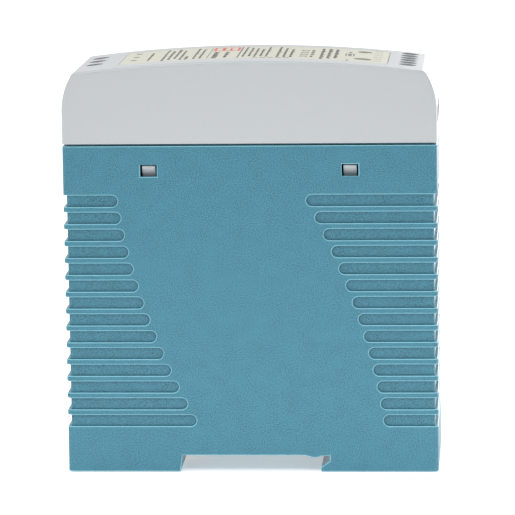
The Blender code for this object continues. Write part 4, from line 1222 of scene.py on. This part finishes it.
def line_choke():
    low, high, middle = extent("line_choke_core")
    inner, outer, half = 5.0, (high.x - low.x) / 2, (high.y - low.y) / 2
    ring = [(inner + 0.5, -half), (outer - 0.5, -half), (outer, 0.5 - half), (outer, half - 0.5)]
    ring += [(outer - 0.5, half), (inner + 0.5, half)]
    ring += [(inner, half - 0.5), (inner, 0.5 - half), (inner + 0.5, -half)]
    core = lathe("choke_ring", ring, middle, "Y", 56)
    show(shade(core), "green_epoxy", "line_choke_core")
    coils = []
    for start, end in ((-78.0, 78.0), (102.0, 258.0)):
        coils.append(ring_winding("coil", middle, (inner + outer) / 2, 2.62, half + 0.62, 0.47, start, end, 11))
    show(merge("choke_coils", coils), "wire", "line_choke_winding")
    x, z = middle.x, middle.z
    seat = rounded_rectangle(8.6, 8.6, 1.5, 6, (x, z))
    carrier = prism("choke_carrier", seat, 13.3, 14.9, "Y")
    cut(carrier, prism("carrier_hole", rounded_rectangle(4.0, 4.0, 3.9, 8, (x, z)), 12.0, 16.0, "Y"))
    soften(carrier, 0.2)
    divider = boxes("divider", [((x - 0.5, middle.y - half + 0.5, z - 4.6), (x + 0.5, 13.6, z + 4.6))])
    carrier = merge("choke_carrier", [carrier, divider])
    show(shade(carrier), "black")
    stand_on([(x + i, z + j) for i in (-7, 7) for j in (-7, 7)], 0.4)


def output_choke():
    low, high = corners("output_choke_core")
    middle, radius = (low + high) / 2, (high.x - low.x) / 2
    flange, hub = 1.7, 3.2
    profile = [(0, low.y), (radius - 0.3, low.y), (radius, low.y + 0.3), (radius, low.y + flange - 0.2)]
    profile += [(radius - 0.2, low.y + flange), (hub, low.y + flange), (hub, high.y - flange)]
    profile += [(radius - 0.2, high.y - flange), (radius, high.y - flange + 0.2), (radius, high.y - 0.3)]
    profile += [(radius - 0.3, high.y), (0, high.y)]
    drum = lathe("choke_drum", profile, (middle.x, 0, middle.z), "Y", 48)
    show(shade(drum), "ferrite", "output_choke_core")
    wire, around = 0.37, 40
    start, end = low.y + flange + 0.45, high.y - flange - 0.45
    turns = int((end - start) / (wire * 2.02))
    coils = []
    for layer_r in (hub + wire + 0.05, hub + 3 * wire):
        path = []
        for i in range(turns * around + 1):
            t = 2 * math.pi * i / around
            y = start + (end - start) * i / (turns * around)
            path.append((middle.x + layer_r * math.cos(t), y, middle.z + layer_r * math.sin(t)))
        coils.append(tube("coil", path, wire, 8))
    show(merge("choke_wire", coils), "wire", "output_choke_winding")
    stand_on([(middle.x - 2.5, middle.z), (middle.x + 2.5, middle.z)], 0.4)


def transformer():
    """The E cores, bobbin and taped coil are the CAD solids. The core band, pin rails and pins are added."""
    eased("transformer_core", "ferrite", 0.25)
    eased("transformer_bobbin", "black", 0.15)
    eased("transformer_winding", "tape", 0.35)
    low, high = corners("transformer_core")
    low_w, high_w = low - Vector((0.12, 0.12, 0)), high + Vector((0.12, 0.12, 0))
    z = (low.z + high.z) / 2
    band = []
    for offset in (-1, 1):
        at = z + offset * 8.4
        band.append(((low_w.x, low_w.y, at - 1.6), (high_w.x, low.y - 0.01, at + 1.6)))
        band.append(((low_w.x, high.y + 0.01, at - 1.6), (high_w.x, high_w.y, at + 1.6)))
        band.append(((low_w.x, low.y, at - 1.6), (low.x - 0.01, high.y, at + 1.6)))
        band.append(((high.x + 0.01, low.y, at - 1.6), (high_w.x, high.y, at + 1.6)))
    show(boxes("core_band", band), "tape")
    bobbin_low, bobbin_high = corners("transformer_bobbin")
    rail = []
    for edge in (bobbin_low.z - 0.8, bobbin_high.z - 2.2):
        rail.append(((bobbin_low.x + 0.4, 12.4, edge), (bobbin_high.x - 0.4, 14.9, edge + 3.0)))
    rails = boxes("pin_rails", rail)
    soften(rails, 0.25)
    show(rails, "black")
    for edge in (bobbin_low.z + 0.7, bobbin_high.z - 0.7):
        stand_on([(bobbin_low.x + 2.4 + 3.3 * i, edge) for i in range(5)], 0.35)


# ---- power parts and board population


def power_device(node, name):
    """A fully moulded power package with a stepped body and three formed legs."""
    low, high, middle = extent(node)
    hole_y = low.y + 3.0
    body = box(name, low, (high.x, high.y, low.z + 3.0))
    join(body, box("raised", (low.x, low.y + 6.4, low.z + 2.0), (high.x, high.y, high.z)))
    join(body, cylinders("boss", [((middle.x, hole_y, low.z + 1.0), 3.3, high.z - low.z - 1.0)], "Z", 40))
    cut(body, cylinders("hole", [((middle.x, hole_y, low.z - 1.0), 1.7, 9.0)], "Z", 28))
    notches = [((x, hole_y + 0.2, low.z - 1.0), 0.9, 9.0) for x in (low.x, high.x)]
    cut(body, cylinders("notches", notches, "Z", 24))
    soften(body, 0.18)
    show(body, "black", node)
    leads = []
    for i in (-1, 0, 1):
        x, z = middle.x + 2.54 * i, low.z + 2.4
        half = 0.42
        leads.append(box("lead", (x - 0.7, high.y - 0.3, z - 0.28), (x + 0.7, high.y + 2.6, z + 0.28)))
        leads.append(box("lead", (x - half, high.y + 2.5, z - 0.28), (x + half, BOARD_FACE + 0.5, z + 0.28)))
    show(merge(name + "_leads", leads), "tin")
    stand_on([(middle.x + 2.54 * i, low.z + 2.4) for i in (-1, 0, 1)], 0.4)


def chip_parts():
    """Rows of surface-mount resistors and capacitors in the clear areas of the main board."""
    bodies, caps = {"black": [], "white": []}, []
    spots = [(x, z) for z in (22.6, 26.4) for x in range(-16, 26, 4)]
    spots += [(19.0, z) for z in (35.0, 38.5, 42.0)]
    spots += [(x, 58.6) for x in (-4, 0, 4)] + [(x, 51.8) for x in (22.5, 25.5)]
    for number, (x, z) in enumerate(spots):
        half_x, half_z, tall = (1.0, 0.62, 0.5) if number % 3 else (0.8, 0.8, 0.75)
        kind = "black" if number % 3 else "white"
        low = (x - half_x + 0.2, BOARD_FACE - tall, z - half_z)
        bodies[kind].append((low, (x + half_x - 0.2, BOARD_FACE + 0.05, z + half_z)))
        for side in (-1, 1):
            span = [x + edge for edge in sided(side, (half_x - 0.25, half_x))]
            low = (span[0], BOARD_FACE - tall - 0.03, z - half_z - 0.03)
            caps.append((low, (span[1], BOARD_FACE + 0.05, z + half_z + 0.03)))
    for kind, spans in bodies.items():
        made = boxes(f"chip_parts_{kind}", spans)
        soften(made, 0.07, 1)
        show(made, kind)
    ends = boxes("chip_part_ends", caps)
    soften(ends, 0.06, 1)
    show(ends, "solder")


def axial_resistors():
    """Axial resistors with bent leads."""
    bodies, wires = [], []
    for x, z in ((-7.0, 24.5), (16.0, 29.5), (-12.0, 30.0)):
        y = BOARD_FACE - 1.35
        half = [(0, -3.1), (0.75, -3.1), (1.1, -2.8), (1.15, -2.0), (0.9, -1.6)]
        profile = half + [(r, -along) for r, along in reversed(half)]
        bodies.append(lathe("resistor", profile, (x, y, z), "X", 24))
        for side in (-1, 1):
            bend = ((3.0, y), (4.2, y), (4.6, y + 0.15), (4.75, y + 0.5), (4.75, BOARD_FACE + 0.4))
            wires.append(tube("lead", [(x + side * along, down, z) for along, down in bend], 0.28, 8))
        stand_on([(x - 4.75, z), (x + 4.75, z)], 0.3)
    show(merge("resistors", bodies), "blue_epoxy")
    show(merge("resistor_leads", wires), "tin")


def legs_and_solder():
    stems = [((x, 14.0, z), radius, SOLDER_TOP - 14.02) for x, z, radius in legs]
    show(shade(cylinders("component_legs", stems, "Y", 12)), "tin")
    joints = []
    for x, z, radius in legs:
        cone = [(0, BOARD_BACK - 0.02), (radius + 0.55, BOARD_BACK - 0.02), (radius + 0.5, BOARD_BACK + 0.05)]
        cone += [(radius + 0.18, BOARD_BACK + 0.13), (radius, SOLDER_TOP - 0.02), (0, SOLDER_TOP)]
        joints.append(lathe("joint", cone, (x, 0.0, z), "Y", 14))
    show(merge("solder_joints", joints), "solder")


def inside():
    for node, finish, width in (
        ("main_board", "board", 0.08),
        ("front_board", "front_board", 0.08),
        ("insulation_sheet", "film", 0.0),
        ("primary_heatsink", "aluminium", 0.25),
        ("secondary_heatsink", "aluminium", 0.25),
        ("transistor_screw", "steel", 0.15),
        ("diode_screw", "steel", 0.15),
    ):
        eased(node, finish, width)
    trimmer_and_light()
    board_link()
    electrolytic("bulk_capacitor", 90)
    electrolytic("output_capacitor_1", 180)
    electrolytic("output_capacitor_2", 180)
    dipped_disc("surge_varistor", "X", "blue_epoxy")
    dipped_disc("inrush_thermistor", "X", "green_epoxy")
    dipped_disc("y_capacitor", "Z", "blue_epoxy")
    small_fuse()
    film_capacitor()
    bridge()
    relay()
    leaded_package("optocoupler", "opto_package", 2, 11.4, 0.35)
    leaded_package("control_chip", "chip_package", 4, 13.3, 0.3)
    line_choke()
    output_choke()
    transformer()
    power_device("switching_transistor", "transistor_package")
    power_device("output_diode", "diode_package")
    chip_parts()
    axial_resistors()
    legs_and_solder()


rear_case()
front_cover()
nameplate()
terminals()
rail_latch()
inside()


# ---- stage, light and camera


FLOOR_HALF, FLOOR_DROP = 4000.0, 0.2
FLOOR_GLOW = 0.42


def stage():
    """A matt pale floor that gives off a little light, so that the recess between the feet stays pale."""
    shape = bmesh.new()
    bmesh.ops.create_grid(shape, x_segments=1, y_segments=1, size=FLOOR_HALF)
    floor = link("floor", shape)
    floor.location.z = -FLOOR_DROP * MM
    nodes = Nodes("pale_floor")
    grain = nodes.noise(3.0, 2.0)
    nodes.colour(nodes.blend(nodes.remap(grain, 0.0, 1.0), (0.90, 0.90, 0.90), (0.92, 0.92, 0.92)))
    nodes.shader.inputs["Roughness"].default_value = 0.9
    nodes.shader.inputs["Emission Color"].default_value = (1.0, 1.0, 1.0, 1.0)
    nodes.shader.inputs["Emission Strength"].default_value = FLOOR_GLOW
    floor.data.materials.append(nodes.material)


# The sky's brightness rises with a direction's dot product with SKY_TOWARDS, and towards both ends of the part.
SKY_LOW, SKY_HIGH = 0.08, 0.52
SKY_SIDES = 0.45
SKY_TOWARDS = (0.0, 1.0, 0.6)
SKY_START, SKY_END = -0.75, 0.25
SUN_STRENGTH, SUN_ANGLE = 0.98, 24.0
SUN_FROM = (-0.22, -0.34, 1.0)
# Name, watts, cone in degrees, place and target in metres.
TABLE_LAMPS = (
    ("table_glow", 8.0, 32.0, (0.0, -0.50, 0.50), (0.0, -0.13, 0.0)),
    ("right_glow", 5.0, 40.0, (0.60, 0.10, 0.40), (0.20, 0.04, 0.0)),
)
# Name, watts, side of the square, place and target in metres.
RIM_LAMPS = (
    ("right_rim", 0.9, 0.28, (0.20, 0.75, 0.15), (0.045, 0.0, 0.05)),
    ("left_rim", 0.4, 0.28, (-0.50, 0.55, 0.15), (-0.045, 0.0, 0.05)),
)
CAMERA_AZIMUTH, CAMERA_ELEVATION, CAMERA_ROLL = 3.9, 9.1, -0.78
CAMERA_AIM = (0.0004, 0.0, 0.0494)
CAMERA_DISTANCE, CAMERA_LENS = 0.88, 250.0


def lamp(name, kind, place, target, **settings):
    """A lamp that the camera doesn't see, turned towards target."""
    data = bpy.data.lights.new(name, kind)
    for key, value in settings.items():
        setattr(data, key, value)
    made = bpy.data.objects.new(name, data)
    made.location = place
    made.rotation_mode = "QUATERNION"
    made.rotation_quaternion = (Vector(place) - Vector(target)).to_track_quat("Z", "Y")
    made.visible_camera = False
    bpy.context.scene.collection.objects.link(made)


def sky():
    """A tent of white light, dim only behind the camera. The camera itself sees plain white."""
    world = bpy.data.worlds.new("studio")
    bpy.context.scene.world = world
    world.use_nodes = True
    tree = world.node_tree
    background = tree.nodes["Background"]
    background.inputs["Color"].default_value = (1.0, 1.0, 1.0, 1.0)
    place = tree.nodes.new("ShaderNodeTexCoord")
    facing = tree.nodes.new("ShaderNodeVectorMath")
    facing.operation = "DOT_PRODUCT"
    facing.inputs[1].default_value = SKY_TOWARDS
    level = tree.nodes.new("ShaderNodeMapRange")
    level.clamp = False
    spans = zip(("From Min", "From Max", "To Min", "To Max"), (SKY_START, SKY_END, SKY_LOW, SKY_HIGH))
    for socket, number in spans:
        level.inputs[socket].default_value = number
    split = tree.nodes.new("ShaderNodeSeparateXYZ")
    sideways, sides, total = (tree.nodes.new("ShaderNodeMath") for _ in range(3))
    sideways.operation, sides.operation, total.operation = "ABSOLUTE", "MULTIPLY", "ADD"
    sides.inputs[1].default_value = SKY_SIDES
    backdrop = tree.nodes.new("ShaderNodeMix")
    backdrop.inputs["B"].default_value = 1.0
    seen = tree.nodes.new("ShaderNodeLightPath")
    for source, output, target, socket in (
        (place, "Generated", facing, 0),
        (facing, "Value", level, "Value"),
        (place, "Generated", split, "Vector"),
        (split, "X", sideways, 0),
        (sideways, "Value", sides, 0),
        (sides, "Value", total, 0),
        (level, "Result", total, 1),
        (seen, "Is Camera Ray", backdrop, "Factor"),
        (total, "Value", backdrop, "A"),
        (backdrop, "Result", background, "Strength"),
    ):
        tree.links.new(source.outputs[output], target.inputs[socket])


def light_and_camera():
    """The sky, a broad lamp above and in front, lamps on the table, and two low behind that whiten the ends."""
    sky()
    lamp("overhead", "SUN", SUN_FROM, (0.0, 0.0, 0.0), energy=SUN_STRENGTH, angle=math.radians(SUN_ANGLE))
    for name, watts, cone, place, target in TABLE_LAMPS:
        cone = {"spot_size": math.radians(cone), "spot_blend": 1.0, "shadow_soft_size": 0.06}
        lamp(name, "SPOT", place, target, energy=watts, **cone)
    for name, watts, side, place, target in RIM_LAMPS:
        lamp(name, "AREA", place, target, energy=watts, size=side)
    bpy.context.scene.view_settings.view_transform = "Standard"

    azimuth, elevation = math.radians(CAMERA_AZIMUTH), math.radians(CAMERA_ELEVATION)
    level = math.cos(elevation)
    back = Vector((math.sin(azimuth) * level, -math.cos(azimuth) * level, math.sin(elevation)))
    roll = Matrix.Rotation(math.radians(CAMERA_ROLL), 3, "Z").to_quaternion()
    data = bpy.data.cameras.new("camera")
    data.sensor_width = 36.0
    data.lens = CAMERA_LENS
    data.clip_start, data.clip_end = 0.05, 20.0
    camera = bpy.data.objects.new("camera", data)
    camera.location = Vector(CAMERA_AIM) + back * CAMERA_DISTANCE
    camera.rotation_mode = "QUATERNION"
    camera.rotation_quaternion = (-back).to_track_quat("-Z", "Y") @ roll
    bpy.context.scene.collection.objects.link(camera)
    bpy.context.scene.camera = camera


stage()
light_and_camera()
